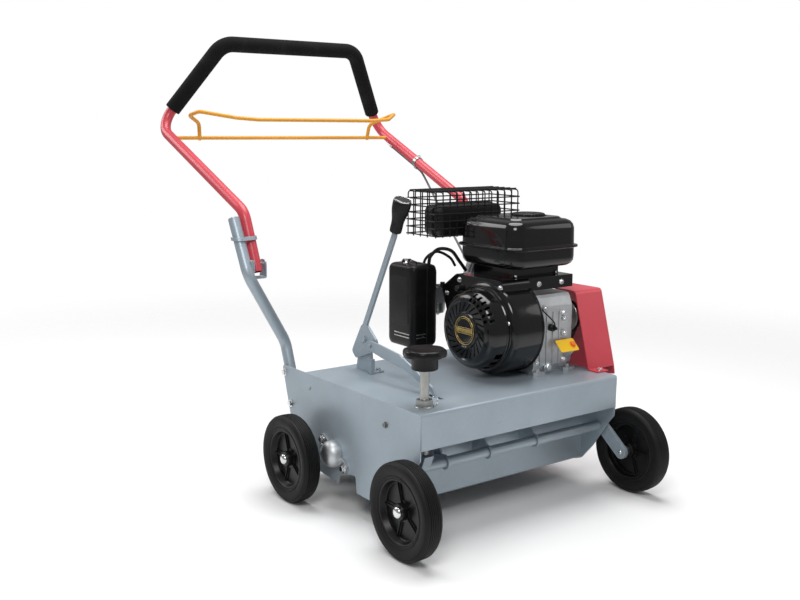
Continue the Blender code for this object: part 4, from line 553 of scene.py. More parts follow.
def bridge(shape, first, second):
    """Faces between two rings, one of which may be a single point."""
    count = max(len(first), len(second))
    if count == 1:
        return
    for step in range(count):
        near, far = step, (step + 1) % count
        corners = [first[near % len(first)], first[far % len(first)]]
        corners += [second[far % len(second)], second[near % len(second)]]
        shape.faces.new(list(dict.fromkeys(corners)))


def lofted(sections, finish, axis="Z"):
    """A skin over closed outlines of the same count, each with its place along the axis."""
    shape = bmesh.new()
    rings = []
    for outline, along in sections:
        rings.append([shape.verts.new(spot(axis, *point, along)) for point in outline])
    for first, second in zip(rings, rings[1:]):
        bridge(shape, first, second)
    shape.faces.new(rings[0])
    shape.faces.new(rings[-1])
    return solid(shape, finish)


def crowned(first, second, rises, finish, axis="Z", radius=0.013, steps=8, slope=0.0):
    """A box with round corners. Each rise is an inset from its sides and a place along the axis."""
    outlines = []
    for inset, along in rises:
        outlines.append((oblong(first, second, inset, radius + inset * slope, steps), along))
    return lofted(outlines, finish, axis)


def prism(outline, axis, low, high, finish):
    return lofted([(outline, low), (outline, high)], finish, axis)


def block(x, y, z, finish):
    return prism([(x[0], y[0]), (x[1], y[0]), (x[1], y[1]), (x[0], y[1])], "Z", z[0], z[1], finish)


def turned(profile, axis, centre, finish, sides=64):
    """A turned solid. The closed profile's points are a radius and a place along the axis."""
    shape = bmesh.new()
    rings = []
    for radius, along in profile:
        count = sides if radius > 0 else 1
        turns = [2 * math.pi * step / count for step in range(count)]
        places = [spot(axis, radius * math.cos(turn), radius * math.sin(turn), along) for turn in turns]
        rings.append([shape.verts.new(place) for place in places])
    for index, ring in enumerate(rings):
        bridge(shape, rings[index - 1], ring)
    bmesh.ops.translate(shape, vec=Vector(centre), verts=shape.verts)
    return solid(shape, finish)


def swept(path, radius, finish, sides=24, bore=0.0):
    """A round bar along a path, or a tube if it has a bore."""
    path = [Vector(place) for place in path]
    runs = [(after - before).normalized() for before, after in zip(path, path[1:])]
    headings = [runs[0]] + [(a + b).normalized() for a, b in zip(runs, runs[1:])] + [runs[-1]]
    across = Vector((0, 0, 1)) if abs(runs[0].z) < 0.9 else Vector((0, 1, 0))
    turns = [2 * math.pi * step / sides for step in range(sides)]
    shape = bmesh.new()
    skins = {size: [] for size in (radius, bore) if size}
    for place, heading in zip(path, headings):
        across = (across - heading * across.dot(heading)).normalized()
        square = heading.cross(across)
        for size, rings in skins.items():
            points = [place + (across * math.cos(turn) + square * math.sin(turn)) * size for turn in turns]
            rings.append([shape.verts.new(point) for point in points])
    for rings in skins.values():
        for first, second in zip(rings, rings[1:]):
            bridge(shape, first, second)
    for end in (0, -1):
        if bore:
            bridge(shape, skins[radius][end], skins[bore][end])
        else:
            shape.faces.new(skins[radius][end])
    return solid(shape, finish)


def rod(start, end, radius, finish, sides=24):
    return swept([start, end], radius, finish, sides)


def rod_x(place, start, end, radius, finish, sides=24):
    return rod(along_x(place, start), along_x(place, end), radius, finish, sides)


def shifted(helper, matrix):
    helper.data.transform(matrix)
    return helper


def turned_about(helper, place, axis, degrees):
    """The helper turned about a line through a place."""
    place = Vector(place)
    spin = Matrix.Rotation(math.radians(degrees), 4, axis)
    return shifted(helper, Matrix.Translation(place) @ spin @ Matrix.Translation(-place))


def tipped(helper, degrees, place):
    """The helper turned about the X axis at the origin, then moved to a place."""
    return shifted(turned_about(helper, (0, 0, 0), "X", degrees), Matrix.Translation(Vector(place)))


def seated(parts, place, heading):
    """Parts modelled upwards from the origin, moved to a place and turned to a heading."""
    turn = Vector((0, 0, 1)).rotation_difference(Vector(heading).normalized()).to_matrix().to_4x4()
    return [shifted(part, Matrix.Translation(Vector(place)) @ turn) for part in parts]


def hex_bolt(place, heading, across, finish="bright", washer=True):
    """A hexagon head with its chamfer, on a washer, standing out from a face along its heading."""
    radius = across / 2 / math.cos(math.pi / 6)
    seat = 0.0012 if washer else 0.0
    height = seat + across * 0.42
    parts = []
    if washer:
        rim = across * 0.72
        profile = [(0, 0), (rim, 0), (rim, seat * 0.8), (rim * 0.97, seat), (0, seat)]
        parts.append(turned(profile, "Z", (0, 0, 0), finish, 32))
    hexagon = ((1.0, seat), (1.0, height * 0.86), (0.90, height))
    parts.append(lofted([(circle((0, 0), radius * size, 6), along) for size, along in hexagon], finish))
    return seated(parts, place, heading)


def hex_bolts(places, heading, across, finish="bright", washer=True):
    return [part for place in places for part in hex_bolt(place, heading, across, finish, washer)]


def dome_bolt(place, heading, radius, finish="bright"):
    """A low domed head, left plain."""
    domed = ((0, 0), (1, 0), (1, 0.25), (0.8, 0.5), (0.4, 0.62), (0, 0.66))
    profile = [(radius * out, radius * up) for out, up in domed]
    return seated([turned(profile, "Z", (0, 0, 0), finish, 24)], place, heading)


def carved(body, cuts=(), adds=()):
    """The body with other solids added and cuts taken away."""
    steps = [(helper, "UNION") for helper in adds] + [(helper, "DIFFERENCE") for helper in cuts]
    for helper, kind in steps:
        step = body.modifiers.new(kind.title(), "BOOLEAN")
        step.object = helper
        step.operation = kind
        step.solver = "EXACT"
    graph = bpy.context.evaluated_depsgraph_get()
    mesh = bpy.data.meshes.new_from_object(body.evaluated_get(graph))
    body.modifiers.clear()
    body.data = mesh
    for helper, kind in steps:
        bpy.data.objects.remove(helper)
    return body


def piece(name, body, parts, edge=0.0, replaces=(), at=None, sharp=32.0):
    """One finished piece: its solids joined, its edges rounded, riding on a body."""
    shape = bmesh.new()
    materials = []
    for part in parts:
        before = len(shape.faces)
        shape.from_mesh(part.data)
        shape.faces.ensure_lookup_table()
        slots = []
        for material in part.data.materials:
            if material not in materials:
                materials.append(material)
            slots.append(materials.index(material))
        for face in shape.faces[before:]:
            face.material_index = slots[min(face.material_index, len(slots) - 1)]
        bpy.data.objects.remove(part)
    mesh = bpy.data.meshes.new(name)
    shape.to_mesh(mesh)
    shape.free()
    mesh.transform(Matrix.Translation(Vector((0, REAR_AXLE_Y, 0)) if at is None else Vector(at)))
    for material in materials:
        mesh.materials.append(material)
    mesh.shade_smooth()
    mesh.set_sharp_from_angle(angle=math.radians(sharp))
    made = bpy.data.objects.new(name, mesh)
    bpy.context.scene.collection.objects.link(made)
    if edge:
        round_off = made.modifiers.new("Rounded edges", "BEVEL")
        round_off.width = edge
        round_off.segments = 2
        round_off.limit_method = "ANGLE"
        round_off.angle_limit = math.radians(sharp)
        round_off.harden_normals = True
    if body:
        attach(made, body)
    if replaces:
        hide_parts(*replaces)
    return made


# Wheels


def tyre_parts(ribs):
    """A solid tyre: two shaped side walls and the ribs of its tread."""
    tread, shoulder = 0.100, 0.0150
    wall = mm(
        (
            (66.4, 16.5), (69, 19.2), (71.5, 19.6), (73.5, 18.4), (75.5, 19.2), (82, 21.2), (88, 21.65),
            (92.5, 20.9), (93.2, 20), (94, 20.4), (96.8, 18.2), (98.4, 15.8),
        )
    )
    crown = []
    pitch = 2 * shoulder / ribs
    flat = pitch * 0.36
    for index in range(ribs):
        x = shoulder - pitch * (index + 0.5)
        top = tread - 0.0012 * (x / shoulder) ** 2
        crown += [(top, x + flat), (top, x - flat)]
        if index < ribs - 1:
            low = top - 0.0017
            crown += [(low, x - flat - 0.0002), (low, x - pitch + flat + 0.0002)]
    profile = wall + crown + [(radius, -x) for radius, x in reversed(wall)]
    return [turned(profile, "X", (0, 0, 0), "tyre", 112)]


def rim_parts(windows):
    """A deep plastic rim: its outer ring, a web with windows and ribs, and a hub with a bright push cap."""
    ring = mm(
        (
            (62.7, -16), (63.7, -17), (66.2, -17), (66.2, 17), (63.7, 17), (62.7, 16), (60.7, 6), (58.7, 4),
            (58.7, -4), (62.7, -6),
        )
    )
    web = mm(((15.5, -4), (59.7, -4), (59.7, 4), (15.5, 4)))
    hub = ((6.6, -16.5), (16.5, -16.5), (17.5, -15), (17.5, 15), (16, 17), (12.6, 17), (11.6, 15))
    hub = mm(hub + ((6.6, 15),))
    cap = mm(
        (
            (6.6, 13), (11.8, 13), (12.2, 17), (12.2, 19), (10.8, 22), (7.5, 24.2), (3, 25), (0, 25),
            (0, 22.5),
            (6.6, 22.5),
        )
    )
    cuts, ribs = [], []
    reach = 360 / windows
    for index in range(windows):
        turn = reach * index
        corners = arc((0, 0), 0.0572, turn - reach * 0.42, turn + reach * 0.42, 6)
        corners += arc((0, 0), 0.0225, turn + reach * 0.34, turn - reach * 0.34, 3)
        for low, high in ((0.0015, 0.017), (-0.017, -0.0015)):
            cuts.append(prism(corners, "X", low, high, "plastic"))
        rib = block(span(0, 0.014), (0.0145, 0.0607), span(0, 0.0020), "plastic")
        ribs.append(turned_about(rib, (0, 0, 0), "X", turn + reach / 2))
    centre = (0, 0, 0)
    disc = carved(turned(web, "X", centre, "plastic", 96), cuts)
    parts = [turned(ring, "X", centre, "plastic", 96), disc] + ribs
    return parts + [turned(hub, "X", centre, "plastic", 64), turned(cap, "X", centre, "bright", 48)]


def build_wheels(settings):
    for end in ("front", "rear"):
        for side in (-1, 1):
            name = side_name(side)
            place = middle(f"tyre_{end}_{name}")
            tyre, rim = tyre_parts(settings.tyre_ribs), rim_parts(settings.rim_windows)
            for kind, parts, edge in (("tyre", tyre, 0.0), ("rim", rim, settings.rim_round)):
                if side < 0:
                    parts = [turned_about(part, (0, 0, 0), "Z", 180) for part in parts]
                node = f"{kind}_{end}_{name}"
                piece(f"{node}_dressed", f"{end}_wheel_{name}", parts, edge, [node], place, 40.0)


# Handle


def build_upper_handle(settings):
    """The bent red tube and the foam sleeve on its grip, whose skin follows short even runs."""
    half = [UPPER_CORNER, UPPER_ELBOW, UPPER_KNEE, UPPER_FOOT]
    path = bent([mirrored(place, -1) for place in reversed(half)] + half, BEND_RADIUS, 12)
    tube = swept(path, TUBE_RADIUS, "red", 32, TUBE_BORE)
    piece("handle_upper_dressed", "handle_fold", [tube], 0.0004, ["upper_handle"])

    start = UPPER_ELBOW.lerp(UPPER_CORNER, 0.20)
    path = bent([mirrored(start, -1), mirrored(UPPER_CORNER, -1), UPPER_CORNER, start], BEND_RADIUS, 14)
    points = []
    for near, far in zip(path, path[1:]):
        count = max(1, round((far - near).length / 0.012))
        points += [near.lerp(far, step / count) for step in range(count)]
    sleeve = swept(points + path[-1:], settings.foam_radius, "foam", 40, TUBE_RADIUS + 0.0004)
    sleeve = piece("foam_sleeve", "handle_fold", [sleeve], 0.0018, ["foam_grip"])


def build_lower_handle(side):
    """One grey tube with its end plug, the cradle for the red tube's foot, and their bolts."""
    foot_x = DECK_HALF - 0.003 - SEAT - TUBE_RADIUS
    stops = [(foot_x, 0.099, 0.179), (foot_x, 0.158, 0.334), LOWER_KNEE, LOWER_END]
    path = bent([mirrored(stop, side) for stop in stops], 0.050, 12)
    top = path[-1]
    heading = (top - path[-2]).normalized()
    parts = [swept(path, TUBE_RADIUS, "grey", 32, TUBE_BORE)]
    parts.append(rod(top - heading * 0.004, top - heading * 0.0012, TUBE_RADIUS - 0.0019, "plastic", 32))

    x, y, z = HINGE
    half, thick = TUBE_RADIUS + 0.0035, 0.003
    outer, inner = x + half + thick, x - half - thick
    low = z - TUBE_RADIUS - HINGE_UP
    cradle = folded([(inner, z + 0.022), (inner, low), (outer, low), (outer, z + 0.022)], -thick, 0.005)
    ears = prism([(side * a, b) for a, b in cradle], "Y", *span(y - 0.004, 0.030), "grey")
    ear = 0.0105
    dome = arc((y, z), ear, 0, 90, 8) + arc((y - 0.008, z), ear, 90, 180, 8)
    above = mm(((-30, 0), (-30, 30), (20, 30), (20, 0)), y, z)
    parts.append(carved(ears, [prism(above + dome, "X", *both(side, x - 0.04, x + 0.04), "grey")]))
    web_x = both(side, x + half + 0.001, LOWER_KNEE.x - 0.006)
    parts.append(block(web_x, (y - 0.032, y - 0.008), (z - 0.016, z + 0.012), "grey"))

    parts.append(rod((side * outer, y, z), (side * inner, y, z), 0.004, "bright"))
    parts += hex_bolt((side * inner, y, z), (-side, 0, 0), 0.013)
    parts += hex_bolt((side * outer, y, z), (side, 0, 0), 0.009, "bright", False)
    for place in ((0.132, 0.266), (0.105, 0.195)):
        face = side * (DECK_HALF + SEAT)
        parts += hex_bolt(along_x(place, face), (side, 0, 0), 0.0125)
        parts.append(rod_x(place, side * (foot_x + TUBE_RADIUS - 0.004), face, 0.004, "bright", 16))
    node = f"lower_handle_{side_name(side)}"
    piece(f"handle_lower_{side_name(side)}_dressed", "frame", parts, 0.0005, [node])


def build_locking_ring(side):
    """An eye round the red tube whose hook reaches round the grey one, leaning with the tube."""
    level, height, slope = 0.5875, 0.008, 1.10
    heart = UPPER_FOOT.lerp(UPPER_KNEE, (level - UPPER_FOOT.z) / (UPPER_KNEE.z - UPPER_FOOT.z))
    other = LOWER_KNEE.lerp(LOWER_END, (level - LOWER_KNEE.z) / (LOWER_END.z - LOWER_KNEE.z))
    inner, wall = TUBE_RADIUS + 0.0010, 0.0025
    outer = inner + wall
    hook = TUBE_RADIUS + 0.0032
    low, high = span(level, height)

    def stretched(outline, centre_y):
        return [(side * x, centre_y + (y - centre_y) * slope) for x, y in outline]

    eye, bore = (stretched(circle((heart.x, heart.y), radius), heart.y) for radius in (outer, inner))
    bend = arc((other.x, other.y), hook + wall - 0.0004, -90, 12, 14)
    bend += arc((other.x, other.y), hook, 12, -90, 14)
    run_in = [(heart.x, heart.y - inner - 0.0003), (heart.x, heart.y - outer)]
    ring = carved(
        prism(eye, "Z", low, high, "grey"),
        [prism(bore, "Z", low - 0.01, high + 0.01, "grey")],
        [prism(stretched(bend, other.y) + stretched(run_in, heart.y), "Z", low, high, "grey")],
    )
    shear = Matrix.Identity(4)
    run = UPPER_KNEE - UPPER_FOOT
    shear[1][2] = run.y / run.z
    shear[0][2] = side * run.x / run.z
    place = mirrored(heart, side)
    shifted(ring, Matrix.Translation(place) @ shear @ Matrix.Translation(-place))
    node = f"locking_ring_{side_name(side)}"
    piece(f"{node}_dressed", f"{node}_slide", [ring], 0.0006, [node])


def build_bail():
    radius, leg = 0.005, 0.272
    share = (BAIL_PIVOT[0] - UPPER_KNEE.y) / (UPPER_ELBOW.y - UPPER_KNEE.y)
    end = UPPER_KNEE.lerp(UPPER_ELBOW, share).x - 0.0030
    stops = ((272, 599, 817), (276, 592, 856), (316, 566, 876), (312, 515, 886), (240, 443, 870))
    stops = mm(stops + ((180, 440, 866),))
    loop = [Vector(stop) for stop in stops] + [mirrored(stop, -1) for stop in reversed(stops)]
    parts = [rod_x(BAIL_PIVOT, -end, end, radius, "orange", 20)]
    parts.append(swept(bent(loop, 0.022, 10), radius, "orange", 20))
    weld = mm(((-2, -6), (1.8, -3), (2.2, 0), (1.8, 3), (-2, 6)), radius, 0)
    parts += [turned(weld, "X", along_x(BAIL_PIVOT, side * leg), "orange", 20) for side in (-1, 1)]
    piece("clutch_bail_dressed", "bail_pivot", parts, 0.0, ["clutch_bail"])


# Axle, depth screw and lever


def build_front_axle():
    """The lifting axle: its tube, the arm and pin for the link, the screw's stop, and both crank arms."""
    end = DECK_HALF + 0.0055
    play, thick = SEAT + 0.0006, 0.005
    pin = (AXLE_TUBE[0] + 0.034, AXLE_TUBE[1])
    link_x = LEVER_X - LEVER_HALF - play - thick
    arm_x = (link_x - play - thick, link_x - play)
    stop = mm(((6, 0), (3, 14), (-6, 28), (-22, 28), (-10, -2)), *AXLE_TUBE)
    parts = [
        swept([along_x(AXLE_TUBE, -end), along_x(AXLE_TUBE, end)], 0.011, "grey", 40, 0.0085),
        prism(slab(AXLE_TUBE, pin, 0.016, 0.009), "X", *arm_x, "grey"),
        rod_x(pin, arm_x[0] - 0.002, link_x + 0.008, 0.004, "bright"),
        prism(stop, "X", *span(KNOB_PLACE[0], 0.024), "grey"),
    ]
    piece("front_axle_dressed", "front_axle", parts, 0.0006, ["front_axle_tube"])
    start = end + SEAT
    for side in (-1, 1):
        plate = prism(slab(AXLE_TUBE, FRONT_WHEEL, 0.016), "X", *both(side, start, start + 0.010), "grey")
        spacer_end = side * (FRONT_WHEEL_X - 0.017 - SEAT)
        parts = [plate, rod_x(FRONT_WHEEL, side * (start + 0.005), spacer_end, 0.011, "zinc", 32)]
        stub_end = side * (FRONT_WHEEL_X + 0.021)
        parts.append(rod_x(FRONT_WHEEL, side * (start + 0.006), stub_end, 0.006, "bright"))
        parts += hex_bolt(along_x(AXLE_TUBE, side * (start + 0.010)), (side, 0, 0), 0.013)
        parts += dome_bolt(along_x(FRONT_WHEEL, side * start), (-side, 0, 0), 0.0055)
        node = f"crank_arm_{side_name(side)}"
        piece(f"{node}_dressed", "front_axle", parts, 0.0008, [node])


def build_depth_screw():
    """The screw with its thread, the knob with its soft dips, and the welded nut with its spring clip."""
    x, y = KNOB_PLACE
    radius, top = 0.0095, 0.361
    stem = ((0, 180.3), (8, 180.3), (9.5, 182.3), (9.5, 300), (9.5, 360), (8.5, 361), (6, 361))
    stem += ((6, 377), (0, 377))
    parts = [turned(mm(stem), "Z", (x, y, 0), "zinc", 48)]
    pitch, low, high, steps = 0.0022, 0.184, 0.302, 16
    helix = []
    for step in range(int((high - low) / pitch * steps) + 1):
        angle, rise = 2 * math.pi * step / steps, pitch * step / steps
        helix.append((x + radius * math.cos(angle), y + radius * math.sin(angle), low + rise))
    parts.append(swept(helix, 0.00055, "zinc", 5))
    piece("depth_screw_dressed", "depth_screw_slide", parts, 0.0, ["depth_screw"])

    low = top + SEAT
    base = low + 0.027
    heights = ((0.93, 0), (0.975, 0.8), (1, 3.5), (1, 9), (0.985, 12.5), (0.94, 14.8), (0.87, 16))
    heights += ((0.8, 15.6), (0.6, 15))
    disc = []
    for size, up in heights:
        disc.append((scalloped((x, y), 0.0455 * size, 8, 0.0025 * size, 16, 1.6), base + up / 1000))
    hub = mm(((6.3, 0), (26.2, 0), (27.5, 1.5), (27.5, 24), (30, 28), (6.3, 28)), 0, low)
    parts = [lofted(disc, "plastic"), turned(hub, "Z", (x, y, 0), "plastic", 64)]
    piece("depth_knob_dressed", "depth_knob_turn", parts, 0.0004, ["depth_knob"])

    flat, low = 0.0165, DECK_TOP + SEAT
    corner = flat / math.cos(math.pi / 6)
    rises = ((1.0, 0.0), (1.0, 0.0135), (0.93, 0.015))
    sections = [(circle((x, y), corner * size, 6), low + up) for size, up in rises]
    bore = rod((x, y, low - 0.01), (x, y, low + 0.03), radius + 0.0008, "zinc", 32)
    clip = mm(((16.5, 4, 9), (26.5, 4, 16), (32.5, 0, 10), (28.5, -6, 2.5), (18.5, -12, 2.2)), x, y, low)
    bead = mm(((1.5, 0), (4.5, 0), (2.5, 2), (0.5, 2.6)), flat, 0)
    parts = [carved(lofted(sections, "zinc"), [bore]), swept(smooth(clip, 8), 0.0011, "bright", 10)]
    parts.append(turned(bead, "Z", (x, y, low), "zinc", 48))
    piece("depth_bush_dressed", "frame", parts, 0.0004, ["depth_bush"])


def build_lever_grip():
    """A grip that swells towards its end, with a bright ring round its cap."""
    start, end = Vector((LEVER_X, -0.152, 0.614)), Vector((LEVER_X, -0.180, 0.688))
    length = (end - start).length
    profile = mm(((8.8, 8.6), (11.5, 7.2), (13, 8.5), (13.6, 12)))
    for step in range(9):
        share = step / 8
        swell = share * share * (3 - 2 * share)
        profile.append((0.0136 + 0.0066 * swell, length * (0.36 + 0.50 * share)))
    profile.append((0.0205, length * 0.93))
    crown = ((20.5, 1), (19, 4.5), (17.2, 6.2), (16.8, 5), (16, 5), (0, 8), (0, 1), (8.8, 1))
    profile += mm(crown, 0, length)
    ring = mm(((17, 4.5), (19, 4.5), (19, 6.2), (18, 7), (17, 6.2)), 0, length)
    lean = math.degrees(math.atan2(start.y - end.y, end.z - start.z))
    parts = [turned(profile, "Z", (0, 0, 0), "soft_plastic", 56), turned(ring, "Z", (0, 0, 0), "bright", 56)]
    parts = [tipped(part, lean, start) for part in parts]
    piece("lever_grip_dressed", "lift_lever_pivot", parts, 0.0, ["lever_grip"])


# Engine


def tilted(reach, height):
    """A place in the side view, given along the leaning cylinder and above its middle line."""
    tilt = math.radians(CYLINDER_TILT)
    y = CRANK_Y + reach * math.cos(tilt) - height * math.sin(tilt)
    return (y, CRANK_Z + reach * math.sin(tilt) + height * math.cos(tilt))


def build_recoil_cover():
    """The starter's dished cover, with curved louvres round its badge and windows in its shoulder."""
    low, badge = -0.026, 0.038

    def disc(profile, finish, sides=64):
        return turned(mm(profile, 0, low), "X", crank(0), finish, sides)

    shell = disc(
        (
            (0, 1.5), (36, 1.5), (38, 0.2), (40.5, 0.2), (42.5, 4), (66, 4), (68.5, 1.5), (75.5, 3),
            (81.2, 7),
            (85.3, 12), (88.8, 19), (91, 29), (92, 49.2), (94, 51.7), (97.5, 52.5), (98, 53.7), (98, 55.7),
            (89.5, 55.7), (86.5, 21), (79.5, 10), (68, 6.5), (0, 6.5),
        ),
        "gloss",
        128,
    )
    cuts = []
    louvres, lean, half = 24, 14.0, 1.9
    near, far = badge + 0.0065, 0.0645
    for index in range(louvres):
        corners = []
        stops = ((near, -half * 1.1), (far, lean - half), (far, lean + half), (near, half * 1.1))
        for radius, turn in stops:
            angle = math.radians(turn)
            corners.append((CRANK_Y + radius * math.cos(angle), CRANK_Z + radius * math.sin(angle)))
        slot = prism(corners, "X", low - 0.005, low + 0.012, "gloss")
        cuts.append(turned_about(slot, crank(0), "X", 360 * index / louvres))
    windows = [((-4, 30), (70, 78.5), 0.0068, 104 + 10.5 * index) for index in range(6)]
    windows += [((-4, 30), (80.5, 88.5), 0.0068, 105.5 + 10.5 * index) for index in range(6)]
    windows += [((28, 47.7), (82, 96), 0.016, 215 + 16 * index) for index in range(9)]
    for depth, reach, width, turn in windows:
        (near_x, near_y), (far_x, far_y) = mm(zip(depth, reach), low, CRANK_Y)
        slot = block((near_x, far_x), (near_y, far_y), span(CRANK_Z, width), "gloss")
        cuts.append(turned_about(slot, crank(0), "X", turn))
    eye_x = low + 0.034
    eye = rod(crank(eye_x), (eye_x, CRANK_Y + 0.2, CRANK_Z), 0.0042, "gloss")
    cuts.append(turned_about(eye, crank(0), "X", 60))
    parts = [carved(shell, cuts), disc(((0, 0.6), (33.5, 0.6), (34, 1.8), (0, 1.8)), "panel")]
    for radius, width in ((31.5, 1.4), (27.5, 0.6)):
        parts.append(disc(((radius, 1), (radius, 0.1), (radius + width, 0.1), (radius + width, 1)), "gilt"))
    chord = 2 * math.sqrt((badge - 0.0105) ** 2 - 0.0065**2)
    for lift, front, width in ((-0.0065, 0.0001, 0.0009), (0.0065, 0.0001, 0.0009), (0.0, 0.0003, 0.0075)):
        height = span(CRANK_Z + lift, width)
        parts.append(block((low + front, low + 0.0010), span(CRANK_Y, chord), height, "gilt"))
    for turn in (165, 285, 45):
        angle = math.radians(turn)
        place = (0.0262, CRANK_Y + 0.0942 * math.cos(angle), CRANK_Z + 0.0942 * math.sin(angle))
        parts += dome_bolt(place, (-1, 0, 0), 0.0045)
    parts.append(disc(((0, 15), (76.5, 15), (76.5, 18), (0, 18)), "soft_plastic", 48))
    piece("recoil_cover_dressed", "frame", parts, 0.0005, ["recoil_cover"])


def build_blower():
    """The shroud: a drum round the flywheel with a snout that leads the air over the cylinder."""
    low, high, wall, radius = 0.030, 0.1197, 0.0025, 0.108
    profile = (
        (86, 0), (92, 0), (100, 1.5), (105, 5.5), (107.4, 11), (108, 17), (108, 85.7), (110.2, 86.7),
        (110.2, 89.7),
        (105.5, 89.7), (105.5, 17), (96, 4.5), (86, 2.5),
    )
    drum = turned(mm(profile, 0, low), "X", crank(0), "gloss", 128)
    corners = ((-62, 70), (-56, 113), (105, 113), (160, 75), (128, -10), (85, -30))
    outline = rounded(mm(corners, CRANK_Y, CRANK_Z), 0.012)
    heart, share = (CRANK_Y + 0.05, CRANK_Z + 0.05), 0.95
    hollow = [(y * share + heart[0] * (1 - share), z * share + heart[1] * (1 - share)) for y, z in outline]
    snout = prism(outline, "X", low + 0.006, high, "gloss")
    room = prism(hollow, "X", low + 0.006 + wall, high + 0.01, "gloss")
    flywheel_room = rod(crank(low + 0.0152), crank(high + 0.01), radius - wall - 0.0012, "gloss", 96)
    front, top = CRANK_Y - 0.056, CRANK_Z + 0.113
    parts = [
        carved(carved(snout, [room]), [flywheel_room]),
        drum,
        block((high - 0.002, 0.260), (front, front + wall), (top - 0.029, top), "gloss"),
        block((high - 0.002, 0.260), (front + 0.0005, CRANK_Y + 0.075), (top - wall, top), "gloss"),
    ]
    places = mm(((0, -52, 98), (0, 92, 100), (0, 140, 62), (0, 98, -16)), *crank(low + 0.006))
    parts += hex_bolts(places, (-1, 0, 0), 0.009)
    parts += hex_bolts([(x, front, top - 0.015) for x in (0.150, 0.222)], (0, -1, 0), 0.009)
    piece("blower_housing_dressed", "frame", parts, 0.0012, ["blower_housing"])


def build_starter_grip():
    heading = Vector((0, 0.5, math.sqrt(0.75)))
    seat = Vector(crank(0.008)) + heading * 0.0935
    bar = ((0, -13.5), (5, -13), (7.2, -10.5), (7.5, -4), (6.8, 0), (7.5, 4), (7.2, 10.5), (5, 13))
    bar += ((0, 13.5),)
    parts = [rod(seat - heading * 0.010, seat + heading * 0.006, 0.0022, "soft_plastic", 16)]
    parts.append(turned(mm(bar), "X", seat + heading * 0.0082 - Vector((0.004, 0, 0)), "plastic", 32))
    piece("starter_grip_dressed", "starter_pull", parts, 0.0, ["starter_grip"])


def build_tank():
    """The pressed tank with its seam and filler pit, on its bracket, and the ribbed cap."""
    x, y, low, top = (0.058, 0.266), (-0.295, -0.092), 0.530, 0.645
    rises = mm(
        (
            (20, 0), (11, 1.5), (4.5, 6), (1, 13), (0, 22), (0, 42.5), (-1.5, 44), (-6.2, 44.4), (-7, 45.2),
            (-7, 48.8), (-6.2, 49.6), (-1.5, 50), (0, 51.5), (0.5, 89), (3, 98.5), (7.5, 105), (15, 109),
            (23, 110), (25.5, 111.5), (29, 114.7), (33, 115),
        ),
        0,
        low,
    )
    cap_place = (middle("fuel_cap").x, middle("fuel_cap").y - REAR_AXLE_Y)
    pit = top - 0.008

    def round_pit(profile, finish):
        return turned(mm(profile, 0, pit), "Z", (*cap_place, 0), finish)

    pocket = round_pit(((0, 0), (40.5, 0), (42.5, 1.5), (43.5, 5.5), (46.5, 8.5), (0, 18)), "gloss")
    bracket = CRANK_Z + 0.1133
    parts = [
        carved(crowned(x, y, rises, "gloss", "Z", 0.034, 10, -0.35), [pocket]),
        round_pit(((0, -1), (36, -1), (36, 0.1), (0, 0.1)), "zinc"),
        block((x[0] + 0.030, x[1] - 0.030), (y[0] + 0.040, y[1] - 0.030), (bracket, low + 0.004), "gloss"),
    ]
    places = [(bolt_x, y[0] + 0.0385, bracket + 0.004) for bolt_x in (x[0] + 0.040, x[1] - 0.040)]
    parts += hex_bolts(places, (0, -1, 0), 0.006, "bright", False)
    piece("fuel_tank_dressed", "frame", parts, 0.0006, ["fuel_tank"])

    radius = 0.040
    sections = []
    rises = ((0.975, 0), (1, 1.2), (1, 8.8), (0.985, 10.8), (0.93, 12.4), (0.86, 13), (0.82, 12.8))
    for size, up in rises + ((0.8, 11.6), (0.4, 11.6), (0.36, 12.6), (0.0005, 12.8)):
        dip = 0.0011 if size > 0.95 else 0.0
        sections.append((scalloped(cap_place, radius * size, 36, dip, 4), pit + SEAT + up / 1000))
    piece("fuel_cap_dressed", "fuel_cap_turn", [lofted(sections, "plastic")], 0.0, ["fuel_cap"])


